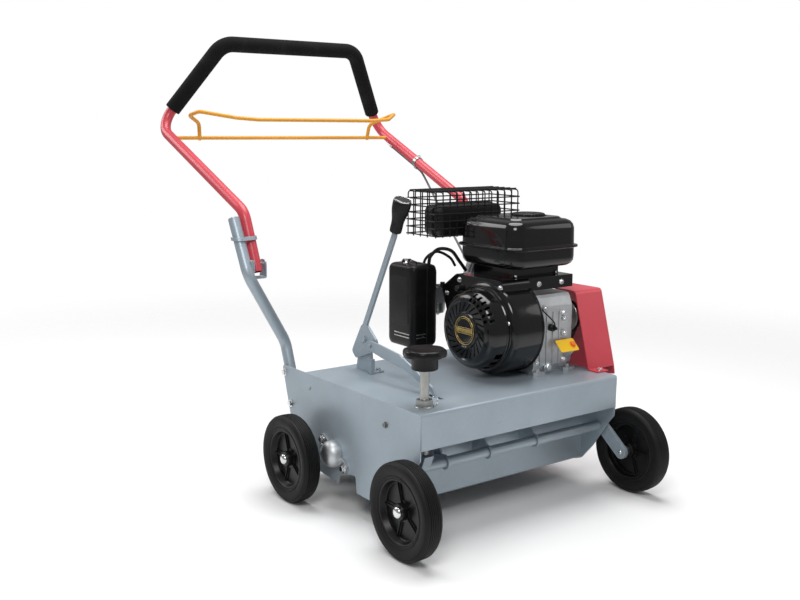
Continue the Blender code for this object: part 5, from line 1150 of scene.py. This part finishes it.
def build_air_filter():
    """The tall filter box: a cover with a lip, two rubbing strips and a wire clip, and a base with hoses."""
    x, y, z = (-0.040, 0.040), (-0.050, 0.055), (0.321, 0.523)
    top = z[1]

    def box(rises, finish="plastic", radius=0.013, slope=0.0):
        return crowned(y, z, mm(rises, 0, x[0]), finish, "X", radius, 8, slope)

    parts = [box(((13, 0), (7.5, 0.7), (3.5, 3), (1.2, 7.5), (0, 15), (0, 48)), slope=0.2)]
    parts.append(box(((-1.2, 41), (-2, 41.8), (-2, 48)), radius=0.014))
    panel = mm(((0, 1), (0, 0), (0.6, -0.3)), 0, x[0])
    parts.append(crowned((-0.034, 0.039), (0.376, 0.493), panel, "soft_plastic", "X", 0.010, 6))
    for level in (0.347, 0.355):
        height = span(level, 0.0024)
        near, far = y[0] - 0.0004, y[0] + 0.030
        strip = [(near, height[0]), (far, height[0]), (far, height[1]), (near, height[1])]
        parts.append(prism(strip, "X", x[0] + 0.012, x[0] + 0.040, "zinc"))
        parts.append(block((x[0] - 0.0004, x[0] + 0.0006), (y[0] + 0.014, y[1] - 0.030), height, "zinc"))
    clip = mm(((-12, 30, -1), (-12, 30, 7), (-14, 0, 10), (-12, -26, 6), (-12, -26, -1)), 0, 0, top)
    parts.append(swept(bent(clip, 0.006, 6), 0.0014, "heat", 12))
    wing = mm(((0, 0), (7.5, 0), (7.5, 4), (5, 6), (3.5, 8.5), (0, 8.5)))
    parts.append(turned(wing, "Z", (-0.020, 0.004, top - 0.001), "bright", 24))
    for side in (-1, 1):
        ear = mm(((side * 4, 4.5), (side * 11, 8.5)), -0.020, top)
        parts.append(prism(slab(*ear, 0.0026), "Y", 0.0025, 0.0055, "bright"))
    piece("air_filter_cover_dressed", "frame", parts, 0.0006, ["air_filter_cover"])

    hose = ((30, -20, -4), (34, -22, 16), (50, -34, 34), (74, -52, 30), (92, -62, 4), (110, -66, -20))
    lead = ((40, 20, -23), (52, 18, 7), (75, 4, 22), (105, -8, 7), (120, -12, -15))
    parts = [box(((1, 48.3), (1, 66), (3, 72), (8, 77), (14, 80)))]
    parts.append(swept(smooth(mm(hose, 0, 0, top), 8), 0.0042, "soft_plastic", 18))
    parts.append(swept(smooth(mm(lead, 0, 0, top), 8), 0.0034, "soft_plastic", 16))
    piece("air_filter_base_dressed", "frame", parts, 0.0006, ["air_filter_base"])


def build_crankcase():
    """Bolts, ribs, the drain plug and the machined faces on the cast case, which keeps its own solid."""
    front, low = CRANK_Y - 0.075, DECK_TOP + SEAT
    ahead = (0, -1, 0)
    parts = []
    for x in (0.140, 0.160, 0.180, 0.200):
        outline = oblong(span(x, 0.0032), (low + 0.018, CRANK_Z + 0.036), 0, 0.0012, 3)
        parts.append(prism(outline, "Y", front - 0.0022, front + 0.002, "cast"))
    for z in (low + 0.022, CRANK_Z + 0.034):
        parts.append(block((0.134, 0.206), (front - 0.0016, front + 0.002), span(z, 0.0030), "cast"))
    places = [(x, front, z) for x in (0.129, 0.2135) for z in (low + 0.030, CRANK_Z + 0.028)]
    parts += hex_bolts(places, ahead, 0.0095)
    for turn in range(8):
        angle = math.radians(22.5 + 45 * turn)
        y = CRANK_Y + 0.010 + 0.066 * math.cos(angle) * 0.96
        parts += hex_bolt((0.244, y, CRANK_Z - 0.010 + 0.066 * math.sin(angle) * 0.97), (1, 0, 0), 0.009)
    bosses = ((0.133, 0.352, 0.0075), (0.150, 0.440, 0.0065), (0.213, 0.375, 0.008), (0.213, 0.410, 0.0065))
    for x, z, radius in bosses:
        boss = [(0, -0.002), (radius, -0.002), (radius * 0.94, 0.0045), (radius * 0.7, 0.0055), (0, 0.0055)]
        parts.append(tipped(turned(boss, "Z", (0, 0, 0), "cast", 24), 90, (x, front, z)))
        parts += hex_bolt((x, front - 0.0055, z), ahead, radius * 1.25, "bright", False)
    switch = mm(((0, 0), (8.5, 0), (8.5, 10), (7, 12), (4, 12.5), (3.6, 20), (0, 20)))
    parts.append(tipped(turned(switch, "Z", (0, 0, 0), "plastic", 24), 90, (0.172, front, 0.392)))
    wire = mm(((172, -16, 394), (160, -22, 410), (142, -10, 432), (130, 2, 448)), 0, front, 0)
    parts.append(swept(smooth(wire, 8), 0.0016, "soft_plastic", 12))
    parts += hex_bolt((0.165, front - 0.0005, low + 0.017), ahead, 0.014)
    piece("crankcase_fittings", "frame", parts, 0.0004)


def build_dipstick():
    """The orange filler cap with its ribs, and the plain yellow tag under it."""
    heading = Vector((0, -math.sqrt(0.5), math.sqrt(0.5)))
    base = Vector((0.226, CRANK_Y - 0.089, DECK_TOP + 0.060))
    cap = mm(
        (
            (0, -10), (7.8, -10), (8, 0.3), (12.2, 0.4), (13, 1.2), (13, 6), (12, 7.4), (6.2, 8.4),
            (5.8, 13.2),
            (4.8, 14), (0, 14),
        )
    )
    parts = [turned(cap, "Z", (0, 0, 0), "amber", 40)]
    for index in range(12):
        rib = block((0.0122, 0.0136), span(0, 0.0020), (0.0012, 0.0062), "amber")
        parts.append(turned_about(rib, (0, 0, 0), "Z", 30 * index))
    parts = [tipped(part, 45, base) for part in parts]
    tag = crowned((-0.046, 0.012), span(0, 0.034), ((0, 0), (0, 0.001)), "yellow", "Z", 0.004, 5)
    tag = carved(tag, [rod((0, 0, -0.01), (0, 0, 0.01), 0.0066, "yellow", 32)])
    parts.append(tipped(tag, 45, base + heading * 0.0070))
    piece("oil_dipstick_dressed", "dipstick_slide", parts, 0.0003, ["oil_dipstick"])


def build_cylinder():
    """The finned barrel with the head's nuts, and the rocker cover with its rim and bolts."""
    x, z = 0.185, CRANK_Z + 0.004
    start, end = CRANK_Y + 0.098 + SEAT, CRANK_Y + CYLINDER_REACH

    def leaned(name, parts):
        parts = [turned_about(part, crank(0), "X", CYLINDER_TILT) for part in parts]
        piece(f"{name}_dressed", "frame", parts, 0.0005, [name])

    def nuts(y, columns, rows):
        places = [(x + a, y, CRANK_Z + b) for a in columns for b in rows]
        return hex_bolts(places, (0, 1, 0), 0.008, "bright", False)

    parts = [block(span(x, 0.084), (start, end), span(z, 0.084), "cast")]
    fins = 7
    pitch = (CYLINDER_REACH - 0.098 - 0.012) / fins
    for index in range(fins):
        place = start + 0.010 + index * pitch
        outline = oblong(span(x, 0.112), span(z, 0.108), 0.0, 0.012, 6)
        parts.append(prism(outline, "Y", place, place + 0.0030, "cast"))
    leaned("engine_cylinder", parts + nuts(end - 0.0004, (-0.030, 0.030), (-0.024, 0.032)))

    low = end + SEAT
    rises = mm(((0, 0), (0, 5.5), (4.5, 6.2), (5.2, 18), (7, 22.5), (10.5, 25), (15, 26)), 0, low)
    cover = crowned(span(x, 0.100), span(z, 0.088), rises, "cast", "Y", 0.014)
    leaned("valve_cover", [cover] + nuts(low + 0.0055, (-0.043, 0.043), (-0.033, 0.041)))


def build_muffler():
    """The silencer: a rolled seam, end plates with punched holes and its pipe."""
    x, y, z = (0.030, 0.225), (-0.068, 0.004), (0.588, 0.664)
    squeeze = (y[1] - y[0]) / 0.076
    rises = mm(
        (
            (10, 0), (4, 2.2), (0.8, 6), (0, 11), (0, 33.5), (-2.4, 34.2), (-3, 35.2), (-3, 38.8),
            (-2.4, 39.8),
            (0, 40.5), (0, 65), (0.8, 70), (4, 73.8), (10, 76),
        )
    )
    can = crowned(x, z, [(inset, y[0] + depth * squeeze) for inset, depth in rises], "heat", "Y", 0.018, 9)
    holes = []
    for row in range(6):
        for column in range(2):
            place = (y[0] + 0.014 + column * 0.010, z[0] + 0.016 + row * 0.0088)
            holes.append(rod_x(place, x[0] - 0.004, x[0] + 0.004, 0.0021, "heat", 10))
    pipe_x, reach = 0.165, CYLINDER_REACH - 0.012
    stops = [along_x(tilted(reach, height), pipe_x) for height in (0.0583, 0.067)]
    stops.append((pipe_x, sum(y) / 2, z[0] + 0.010))
    flange = turned(mm(((12.2, 0), (19, 0), (19, 5), (12.2, 5))), "Z", (0, 0, 0), "zinc", 32)
    flange = tipped(flange, CYLINDER_TILT, Vector(stops[0]) + Vector((0, 0, 0.0004)))
    parts = [carved(can, holes), swept(bent(stops, 0.015, 8), 0.012, "heat", 28), flange]
    piece("muffler_dressed", "frame", parts, 0.0004, ["muffler"])


def build_cage():
    """The wire guard over the silencer, each wire round and welded where it crosses another."""
    x, y, z = (0.002, 0.262), (-0.082, 0.027), (0.590, 0.697)
    radius, step = 0.0016, 0.00256
    hoops, rows, across, uprights = 12, 6, 5, 4
    wires = []
    for index in range(hoops + 1):
        place = x[0] + (x[1] - x[0]) * index / hoops
        hoop = [(place, y[0], z[0]), (place, y[0], z[1]), (place, y[1], z[1]), (place, y[1], z[0])]
        wires.append(bent(hoop, 0.008, 6))
    over_x = (x[0] - 0.003, x[1] + 0.003)
    for row in range(rows):
        level = z[0] + 0.004 + (z[1] - z[0] - 0.004) * row / rows
        wires += [[(end, side_y, level) for end in over_x] for side_y in (y[0] - step, y[1] + step)]
        for end_x in (x[0] - step, x[1] + step):
            wires.append([(end_x, side_y, level + 0.0003) for side_y in (y[0] - 0.002, y[1] + 0.002)])
    for index in range(across):
        place = y[0] + (y[1] - y[0]) * (index + 0.5) / across
        wires.append([(end, place, z[1] + step) for end in over_x])
    for end_x in (x[0] - step * 1.5, x[1] + step * 1.5):
        for index in range(1, uprights):
            place = y[0] + (y[1] - y[0]) * index / uprights
            wires.append([(end_x, place, z[0]), (end_x, place, z[1] + 0.001)])
    parts = [swept(wire, radius, "heat", 10) for wire in wires]
    bracket_z = z[0] + 0.004 + (z[1] - z[0]) / 3
    for place in (0.065, 0.190):
        parts.append(block(span(place, 0.014), (0.0043, y[1] + step), span(bracket_z, 0.010), "heat"))
    piece("muffler_cage_dressed", "frame", parts, 0.0, ["muffler_cage"])


def build_carburettor():
    """The carburettor with its bowl, flanges and bowl nut, and the pipe to the cylinder's port."""
    start, end, y, z = 0.0403, 0.127, 0.004, 0.440
    bowl_x, bend_x = (start + end) / 2 - 0.006, (start + end) / 2 + 0.006
    parts = [block((start + 0.008, end - 0.022), span(y, 0.044), span(z, 0.040), "cast")]
    parts.append(rod_x((y, z), start, end, 0.016, "cast", 48))
    for place in (start + 0.0025, end - 0.0020):
        parts.append(block(span(place, 0.0040), span(y, 0.056), span(z, 0.036), "cast"))
    bowl = ((0, -49), (9, -49), (14, -47.5), (17.5, -43.5), (18.8, -37), (19, -22), (20.5, -21.5))
    bowl += ((20.5, -18), (0, -18))
    parts.append(turned(mm(bowl), "Z", (bowl_x, y, z), "zinc", 48))
    parts += hex_bolt((bowl_x, y, z - 0.0490), (0, 0, -1), 0.009, "bright", False)
    port = tilted(CYLINDER_REACH - 0.013, -0.012)
    stops = [(bend_x, y, z), along_x(port, bend_x), along_x(port, 0.129 - SEAT)]
    parts.append(swept(bent(stops, 0.012, 8), 0.012, "cast", 32))
    parts += dome_bolt((bowl_x + 0.010, y - 0.022, z + 0.006), (0, -1, 0), 0.0045)
    piece("carburettor_dressed", "frame", parts, 0.0008, ["carburettor"])


# Bearings, belt drive and guards


def build_bearings():
    """The two flange bearings: a closed dome on the right, an open one round the shaft on the left."""
    lean, radius, bore, thick = math.radians(28.0), 0.031, 0.0131, 0.006
    for side in (-1, 1):
        face = side * (DECK_HALF + SEAT)
        ends = []
        for reach in (-0.049, 0.049):
            ends.append((REEL[0] + reach * math.cos(lean), REEL[1] + reach * math.sin(lean)))
        flange = prism(slab(*ends, 0.013, 0.013, 20), "X", *sorted((face, face + side * thick)), "cast")
        if side < 0:
            proud = 0.030
            steps = (
                (1, 0), (1, 0.22), (0.985, 0.36), (0.95, 0.5), (0.89, 0.63), (0.8, 0.76), (0.68, 0.87),
                (0.52, 0.95), (0.32, 0.99),
            )
            profile = [(radius * size, proud * share) for size, share in steps]
            profile += [(0, proud), (0, 0.0165), (bore, 0.0165), (bore, 0.0)]
        else:
            proud = 0.0085
            profile = [(radius, 0.0), (radius, proud * 0.7), (radius * 0.8, proud)]
            profile += [(bore, proud), (bore, 0.0)]
        profile = [(out, side * along) for out, along in profile]
        hole = rod_x(REEL, face - side * 0.01, face + side * 0.012, bore, "cast", 40)
        parts = [carved(flange, [hole]), turned(profile, "X", along_x(REEL, face), "cast", 72)]
        across = 0.010 if side > 0 else 0.013
        places = [along_x(place, face + side * thick) for place in ends]
        parts += hex_bolts(places, (side, 0, 0), across, "bright", side < 0)
        if side < 0:
            parts += dome_bolt((face - 0.020, REEL[0] + 0.022, REEL[1] + 0.018), (-1, 0.6, 0.5), 0.0035)
        node = f"bearing_{side_name(side)}"
        piece(f"{node}_dressed", "frame", parts, 0.0008, [node])


def grooved(radius, place, bore):
    """A belt pulley with its groove and a dished face."""
    rim = ((-0.8, -8), (0, -7.2), (0, -5.3), (-9.5, -4.3), (-9.5, 4.3), (0, 5.3), (0, 7.2), (-0.8, 8))
    profile = [(bore, -0.008)] + mm(rim, radius, 0) + mm(((9, 8), (8, 5), (2, 5), (0, 5)), bore, 0)
    return turned(profile, "X", along_x(place, BELT_X), "zinc", 72)


def build_pulleys():
    engine = grooved(ENGINE_PULLEY, (CRANK_Y, CRANK_Z), 0.0098)
    piece("engine_pulley_dressed", "crank_spin", [engine], 0.0, ["engine_pulley"])
    shaft = mm(((0, 229), (12.5, 229), (12.5, 297.7), (9.5, 297.7), (9.5, 317.5), (9, 318), (0, 318)))
    shaft = turned(shaft, "X", crank(0), "bright", 40)
    piece("crankshaft_dressed", "crank_spin", [shaft], 0.0003, ["crankshaft"])
    piece("reel_pulley_dressed", "reel_spin", [grooved(REEL_PULLEY, REEL, 0.0128)], 0.0, ["reel_pulley"])


def build_reel():
    """The shaft with its three-pointed knives: each knife is bevelled, and spacers part them."""
    first, count, shaft, thick = -0.236, 10, 0.0125, 0.0018
    spots = [first - 2 * first * index / (count - 1) for index in range(count)]
    parts = [rod_x(REEL, -DECK_HALF - 0.014, 0.313, shaft, "zinc", 40)]
    outline = []
    for turn in (0, 120, 240):
        for radius, lean in ((0.082, -7), (0.085, -4), (0.0815, 7)):
            outline += arc(REEL, radius, turn + lean, turn + lean, 1)[:1]
        outline += arc(REEL, 0.034, turn + 46, turn + 74, 4)
    for index, x in enumerate(spots):
        knife = prism(outline, "X", *span(x, 0.003), "knife")
        parts.append(turned_about(knife, along_x(REEL, 0), "X", 42.0 * index))
    for near, far in zip(spots, spots[1:]):
        parts.append(rod_x(REEL, near + thick, far - thick, shaft + 0.006, "zinc", 40))
    for x, side in ((spots[0], -1), (spots[-1], 1)):
        nut_x = sorted((x + side * thick, x + side * 0.012))
        parts.append(prism(circle(REEL, 0.021, 6), "X", *nut_x, "zinc"))
    piece("reel_dressed", "reel_spin", parts, 0.0004, ["reel"])


def build_belt():
    """A wedge-shaped loop round both pulleys, its outer face just inside the idler's reach."""
    depth, inner, outer = 0.008, 0.0022, 0.0034
    shape = bmesh.new()
    rings = []
    for extra, offset in ((0.0, inner), (depth - 0.0007, outer), (depth - 0.0007, -outer), (0.0, -inner)):
        halves = (ENGINE_PULLEY - depth + extra, REEL_PULLEY - depth + extra)
        outline = slab((CRANK_Y, CRANK_Z), REEL, *halves, 40)
        rings.append([shape.verts.new((BELT_X + offset, y, z)) for y, z in outline])
    for index, ring in enumerate(rings):
        bridge(shape, rings[index - 1], ring)
    piece("drive_belt_dressed", "frame", [solid(shape, "belt")], 0.0, ["drive_belt"])


def idler_place():
    heart = middle("idler_pulley")
    return (heart.y - REAR_AXLE_Y, heart.z)


def build_idler():
    """The idler's arm, cut back for the pulley's hub, with its stud and pulley."""
    low = DECK_HALF + 0.0025
    place, post = idler_place(), (-0.030, 0.222)
    tab = slab(place, (place[0] + 0.030, place[1] + 0.012), 0.007, 0.006)
    arm = carved(
        prism(slab(post, place, 0.011, 0.010), "X", low, low + 0.004, "zinc"),
        [rod_x(post, low - 0.01, low + 0.01, 0.0046, "zinc")],
        [prism(tab, "X", low, low + 0.004, "zinc")],
    )
    stud = rod_x(place, low + 0.001, 0.314, 0.004, "bright")
    piece("idler_arm_dressed", "idler_swing", [arm, stud], 0.0005, ["idler_arm"])
    profile = mm(
        (
            (4.6, -5), (22.5, -5), (23, -4.5), (20, -3.5), (20, 3.5), (23, 4.5), (22.5, 5), (12, 5),
            (11, 3.5),
            (4.6, 3.5),
        )
    )
    pulley = turned(profile, "X", along_x(place, BELT_X), "plastic", 56)
    piece("idler_pulley_dressed", "idler_spin", [pulley], 0.0, ["idler_pulley"])


def build_cable():
    """The clutch cable: its conduit under the tube, its clamp, and the free run down to the idler's arm."""
    heading = (UPPER_ELBOW - UPPER_KNEE).normalized()
    under = Vector((0, heading.z, -heading.y)).normalized()
    cable, wire = 0.003, 0.0011
    gap = TUBE_RADIUS + cable + SEAT
    clamp = UPPER_KNEE.lerp(UPPER_ELBOW, 0.48) + under * gap
    top = UPPER_KNEE.lerp(UPPER_ELBOW, 0.80) + under * gap
    parts = [
        swept([top, clamp], cable, "conduit", 20),
        swept([top, top + heading * 0.016, top + heading * 0.028 - under * 0.004], 0.0022, "bright", 16),
        swept([top - heading * 0.010, top + heading * 0.001], cable + 0.0009, "zinc", 20),
    ]
    piece("clutch_cable_dressed", "handle_fold", parts, 0.0003, ["clutch_cable"])
    ring = UPPER_KNEE.lerp(UPPER_ELBOW, 0.50)
    half = heading * 0.006
    saddle = ring + under * gap
    parts = [swept([ring - half, ring + half], TUBE_RADIUS + 0.0022, "zinc", 48, TUBE_RADIUS + 0.0004)]
    parts.append(swept([saddle - half, saddle + half], cable + 0.0022, "zinc", 32, cable + SEAT))
    parts += hex_bolt(ring - under * (TUBE_RADIUS + 0.0030), -under, 0.008, "bright", False)
    piece("cable_clamp_dressed", "handle_fold", parts, 0.0003, ["cable_clamp"])

    heart = idler_place()
    hook = Vector((DECK_HALF + 0.0045, heart[0] + 0.030, heart[1] + 0.012))
    start = clamp - heading * 0.001
    stops = [start, start - heading * 0.030 + under * 0.005]
    stops += mm(((322, 325, 645), (298, 215, 556), (291, 100, 452)))
    stops += [hook + Vector((0, 0.022, 0.050)), hook + Vector((0, 0.002, 0.007))]
    path = smooth(stops, 14)
    wire_from = len(path) - 12
    ends = [swept(path[wire_from - 4 : wire_from + 2], cable + 0.0012, "zinc", 18)]
    ends = piece("clutch_cable_end", "frame", ends + [swept(path[wire_from - 1 :], wire, "bright", 12)])
    conduit = swept(path[:wire_from], cable, "conduit", 18)
    run = piece("clutch_cable_free_dressed", None, [conduit], 0.0, ["clutch_cable_free"])
    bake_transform(run)


def build_fittings():
    """Bolts through the side panels, on the lever and its bracket, and on the belt's guard and cover."""
    parts = []
    for side in (-1, 1):
        face = side * (DECK_HALF + 0.0001)
        parts += hex_bolt((face, -0.285, 0.235), (side, 0, 0), 0.010, "knife")
        parts += dome_bolt((face, 0.020, 0.250), (side, 0, 0), 0.0042, "zinc")
    bracket_x = LEVER_X + LEVER_HALF + SEAT + 0.020
    parts += hex_bolts([(bracket_x, y, DECK_TOP + 0.0043) for y in (-0.056, -0.006)], (0, 0, 1), 0.010)
    piece("deck_fittings", "frame", parts, 0.0003)
    place = (LEVER_X - LEVER_HALF - SEAT, -0.040, 0.362)
    piece("lever_bolt", "frame", hex_bolt(place, (-1, 0, 0), 0.013, "bright", False), 0.0003)
    parts = hex_bolt((0.282, -0.354, DECK_TOP + 0.0035), (0, 0, 1), 0.011)
    places = [(0.352, y, z) for y, z in ((-0.300, 0.300), (-0.150, 0.445), (-0.150, 0.250))]
    piece("guard_bolts", "frame", parts + hex_bolts(places, (1, 0, 0), 0.009), 0.0003)


# Plain CAD nodes that keep their solids


KEPT = {
    "deck_housing": "grey",
    "front_plate": "grey",
    "rear_flap": "tyre",
    "lever_bracket": "grey",
    "lift_lever": "grey",
    "lift_link": "grey",
    "engine_crankcase": "cast",
    "choke_lever": "plastic",
    "idler_stud": "zinc",
    "belt_guard": "red",
    "belt_cover": "red",
}


def finish_frame():
    for node, finish in KEPT.items():
        made = frame["nodes"][node]
        made.data.materials.clear()
        made.data.materials.append(FINISHES[finish])
        for face in made.data.polygons:
            face.material_index = 0


# Stage


def build_floor():
    """A pale floor that fades away into the white."""
    finish = Finish("pale floor", (0.86, 0.86, 0.86), roughness=0.9, specular_ior_level=0.2)
    away = finish.add("ShaderNodeVectorMath", {"operation": "LENGTH"}, {0: finish.place}, "Value")
    finish.feed(alpha=1.0 - finish.band(away, 1.1, 3.0))
    bpy.ops.mesh.primitive_plane_add(size=24.0, location=(0, 0, -0.0005))
    floor = bpy.context.object
    floor.name = "floor"
    floor.data.materials.append(finish.material)


def build_world():
    """Soft white light, with a full white that only the camera and clear pieces see."""
    world = bpy.data.worlds.new("studio")
    world.use_nodes = True
    bpy.context.scene.world = world
    tree = world.node_tree
    light = tree.nodes["Background"]
    white, path, seen, blend = (
        tree.nodes.new(f"ShaderNode{kind}") for kind in ("Background", "LightPath", "Math", "MixShader")
    )
    for backdrop, strength in ((light, 0.30), (white, 1.0)):
        backdrop.inputs["Color"].default_value = (1, 1, 1, 1)
        backdrop.inputs["Strength"].default_value = strength
    seen.operation = "MAXIMUM"
    links = (
        (path.outputs["Is Camera Ray"], seen.inputs[0]),
        (path.outputs["Is Transmission Ray"], seen.inputs[1]),
        (seen.outputs[0], blend.inputs["Fac"]),
        (light.outputs[0], blend.inputs[1]),
        (white.outputs[0], blend.inputs[2]),
        (blend.outputs[0], tree.nodes["World Output"].inputs["Surface"]),
    )
    for output, socket in links:
        tree.links.new(output, socket)


def build_lamps():
    lamps = (
        ("key", (-1.8, -2.0, 2.6), 1.2, 40.0),
        ("fill", (2.8, -2.0, 1.8), 1.6, 10.0),
        ("back", (-1.6, 2.6, 2.4), 1.8, 36.0),
        ("top", (0.4, 0.2, 3.4), 2.6, 100.0),
    )
    for name, place, size, watts in lamps:
        light = bpy.data.lights.new(name, "AREA")
        light.shape = "DISK"
        light.size = size
        light.energy = watts
        lamp = bpy.data.objects.new(name, light)
        lamp.location = place
        aim = Vector((0, 0, 0.45)) - Vector(place)
        lamp.rotation_mode = "QUATERNION"
        lamp.rotation_quaternion = aim.to_track_quat("-Z", "Y")
        bpy.context.scene.collection.objects.link(lamp)


def build_camera():
    """The photograph's camera: its place, its heading and its framing."""
    place = Vector((-1.4825, -1.9679 + REAR_AXLE_Y, 0.8485))
    yaw, pitch, roll = (math.radians(a) for a in (37.2192, 8.5658, 0.3539))
    ahead = Vector((math.sin(yaw) * math.cos(pitch), math.cos(yaw) * math.cos(pitch), -math.sin(pitch)))
    right = Vector((math.cos(yaw), -math.sin(yaw), 0))
    up = right.cross(ahead)
    right, up = right * math.cos(roll) + up * math.sin(roll), up * math.cos(roll) - right * math.sin(roll)
    focal, width, height = 1023.2, 800, 600
    heart = (417.80, 281.51)
    lens = bpy.data.cameras.new("camera")
    lens.sensor_width = 36.0
    lens.lens = focal * lens.sensor_width / width
    lens.shift_x = (width / 2 - heart[0]) / width
    lens.shift_y = (heart[1] - height / 2) / width
    camera = bpy.data.objects.new("camera", lens)
    turn = Matrix((right, up, -ahead)).transposed().to_4x4()
    camera.matrix_world = Matrix.Translation(place) @ turn
    bpy.context.scene.collection.objects.link(camera)
    bpy.context.scene.camera = camera
    bpy.context.scene.view_settings.view_transform = "Standard"


# Operators


class RakeStep:
    """What the operators share: each one makes its own pieces from the settings."""

    def execute(self, context):
        self.make(context.scene.rake)
        return {"FINISHED"}


class RAKE_OT_finishes(RakeStep, bpy.types.Operator):
    """Make every material and lay them on the frame's own pieces"""

    bl_idname = "rake.finishes"
    bl_label = "Finishes"

    def make(self, settings):
        FINISHES.update(make_finishes(settings))
        finish_frame()


class RAKE_OT_wheels(RakeStep, bpy.types.Operator):
    """Make the four wheels: ribbed tyres on windowed rims"""

    bl_idname = "rake.wheels"
    bl_label = "Wheels"

    def make(self, settings):
        build_wheels(settings)


class RAKE_OT_handle(RakeStep, bpy.types.Operator):
    """Make the handle: tubes, foam sleeve, locking rings and bail"""

    bl_idname = "rake.handle"
    bl_label = "Handle"

    def make(self, settings):
        build_upper_handle(settings)
        for side in (-1, 1):
            build_lower_handle(side)
            build_locking_ring(side)
        build_bail()


class RAKE_OT_axle(RakeStep, bpy.types.Operator):
    """Make the front axle, the depth screw and the lever's grip"""

    bl_idname = "rake.axle"
    bl_label = "Axle and Lever"

    def make(self, settings):
        build_front_axle()
        build_depth_screw()
        build_lever_grip()


class RAKE_OT_shrouds(RakeStep, bpy.types.Operator):
    """Make the engine's shrouds, starter and fuel tank"""

    bl_idname = "rake.shrouds"
    bl_label = "Shrouds and Tank"

    def make(self, settings):
        build_recoil_cover()
        build_blower()
        build_starter_grip()
        build_tank()


class RAKE_OT_engine(RakeStep, bpy.types.Operator):
    """Make the engine's castings, filter, carburettor and dipstick"""

    bl_idname = "rake.engine"
    bl_label = "Engine"

    def make(self, settings):
        build_crankcase()
        build_cylinder()
        build_dipstick()
        build_air_filter()
        build_carburettor()


class RAKE_OT_exhaust(RakeStep, bpy.types.Operator):
    """Make the silencer and its wire guard"""

    bl_idname = "rake.exhaust"
    bl_label = "Silencer"

    def make(self, settings):
        build_muffler()
        build_cage()


class RAKE_OT_drive(RakeStep, bpy.types.Operator):
    """Make the reel, its bearings, the belt drive and the clutch cable"""

    bl_idname = "rake.drive"
    bl_label = "Reel and Drive"

    def make(self, settings):
        build_bearings()
        build_pulleys()
        build_reel()
        build_belt()
        build_idler()
        build_cable()


class RAKE_OT_fittings(RakeStep, bpy.types.Operator):
    """Make the small bolts on the deck and the guard"""

    bl_idname = "rake.fittings"
    bl_label = "Fittings"

    def make(self, settings):
        build_fittings()


class RAKE_OT_stage(RakeStep, bpy.types.Operator):
    """Make the floor, the lamps and the camera"""

    bl_idname = "rake.stage"
    bl_label = "Stage"

    def make(self, settings):
        build_floor()
        build_world()
        build_lamps()
        build_camera()


OPERATORS = (
    RAKE_OT_finishes,
    RAKE_OT_wheels,
    RAKE_OT_handle,
    RAKE_OT_axle,
    RAKE_OT_shrouds,
    RAKE_OT_engine,
    RAKE_OT_exhaust,
    RAKE_OT_drive,
    RAKE_OT_fittings,
    RAKE_OT_stage,
)


class RAKE_PT_panel(bpy.types.Panel):
    """Lists the settings and the pieces"""

    bl_idname = "RAKE_PT_panel"
    bl_label = "Power Rake"
    bl_space_type = "VIEW_3D"
    bl_region_type = "UI"
    bl_category = "Power Rake"

    def draw(self, context):
        for name in RakeSettings.__annotations__:
            self.layout.prop(context.scene.rake, name)
        for operator in OPERATORS:
            self.layout.operator(operator.bl_idname)


def register():
    for made in (RakeSettings, *OPERATORS, RAKE_PT_panel):
        bpy.utils.register_class(made)
    bpy.types.Scene.rake = PointerProperty(type=RakeSettings)


def unregister():
    del bpy.types.Scene.rake
    for made in (RAKE_PT_panel, *reversed(OPERATORS), RakeSettings):
        bpy.utils.unregister_class(made)


def main():
    register()
    bpy.ops.rake.finishes()
    bpy.ops.rake.wheels()
    bpy.ops.rake.handle()
    bpy.ops.rake.axle()
    bpy.ops.rake.shrouds()
    bpy.ops.rake.engine()
    bpy.ops.rake.exhaust()
    bpy.ops.rake.drive()
    bpy.ops.rake.fittings()
    bpy.ops.rake.stage()


if __name__ == "__main__":
    main()
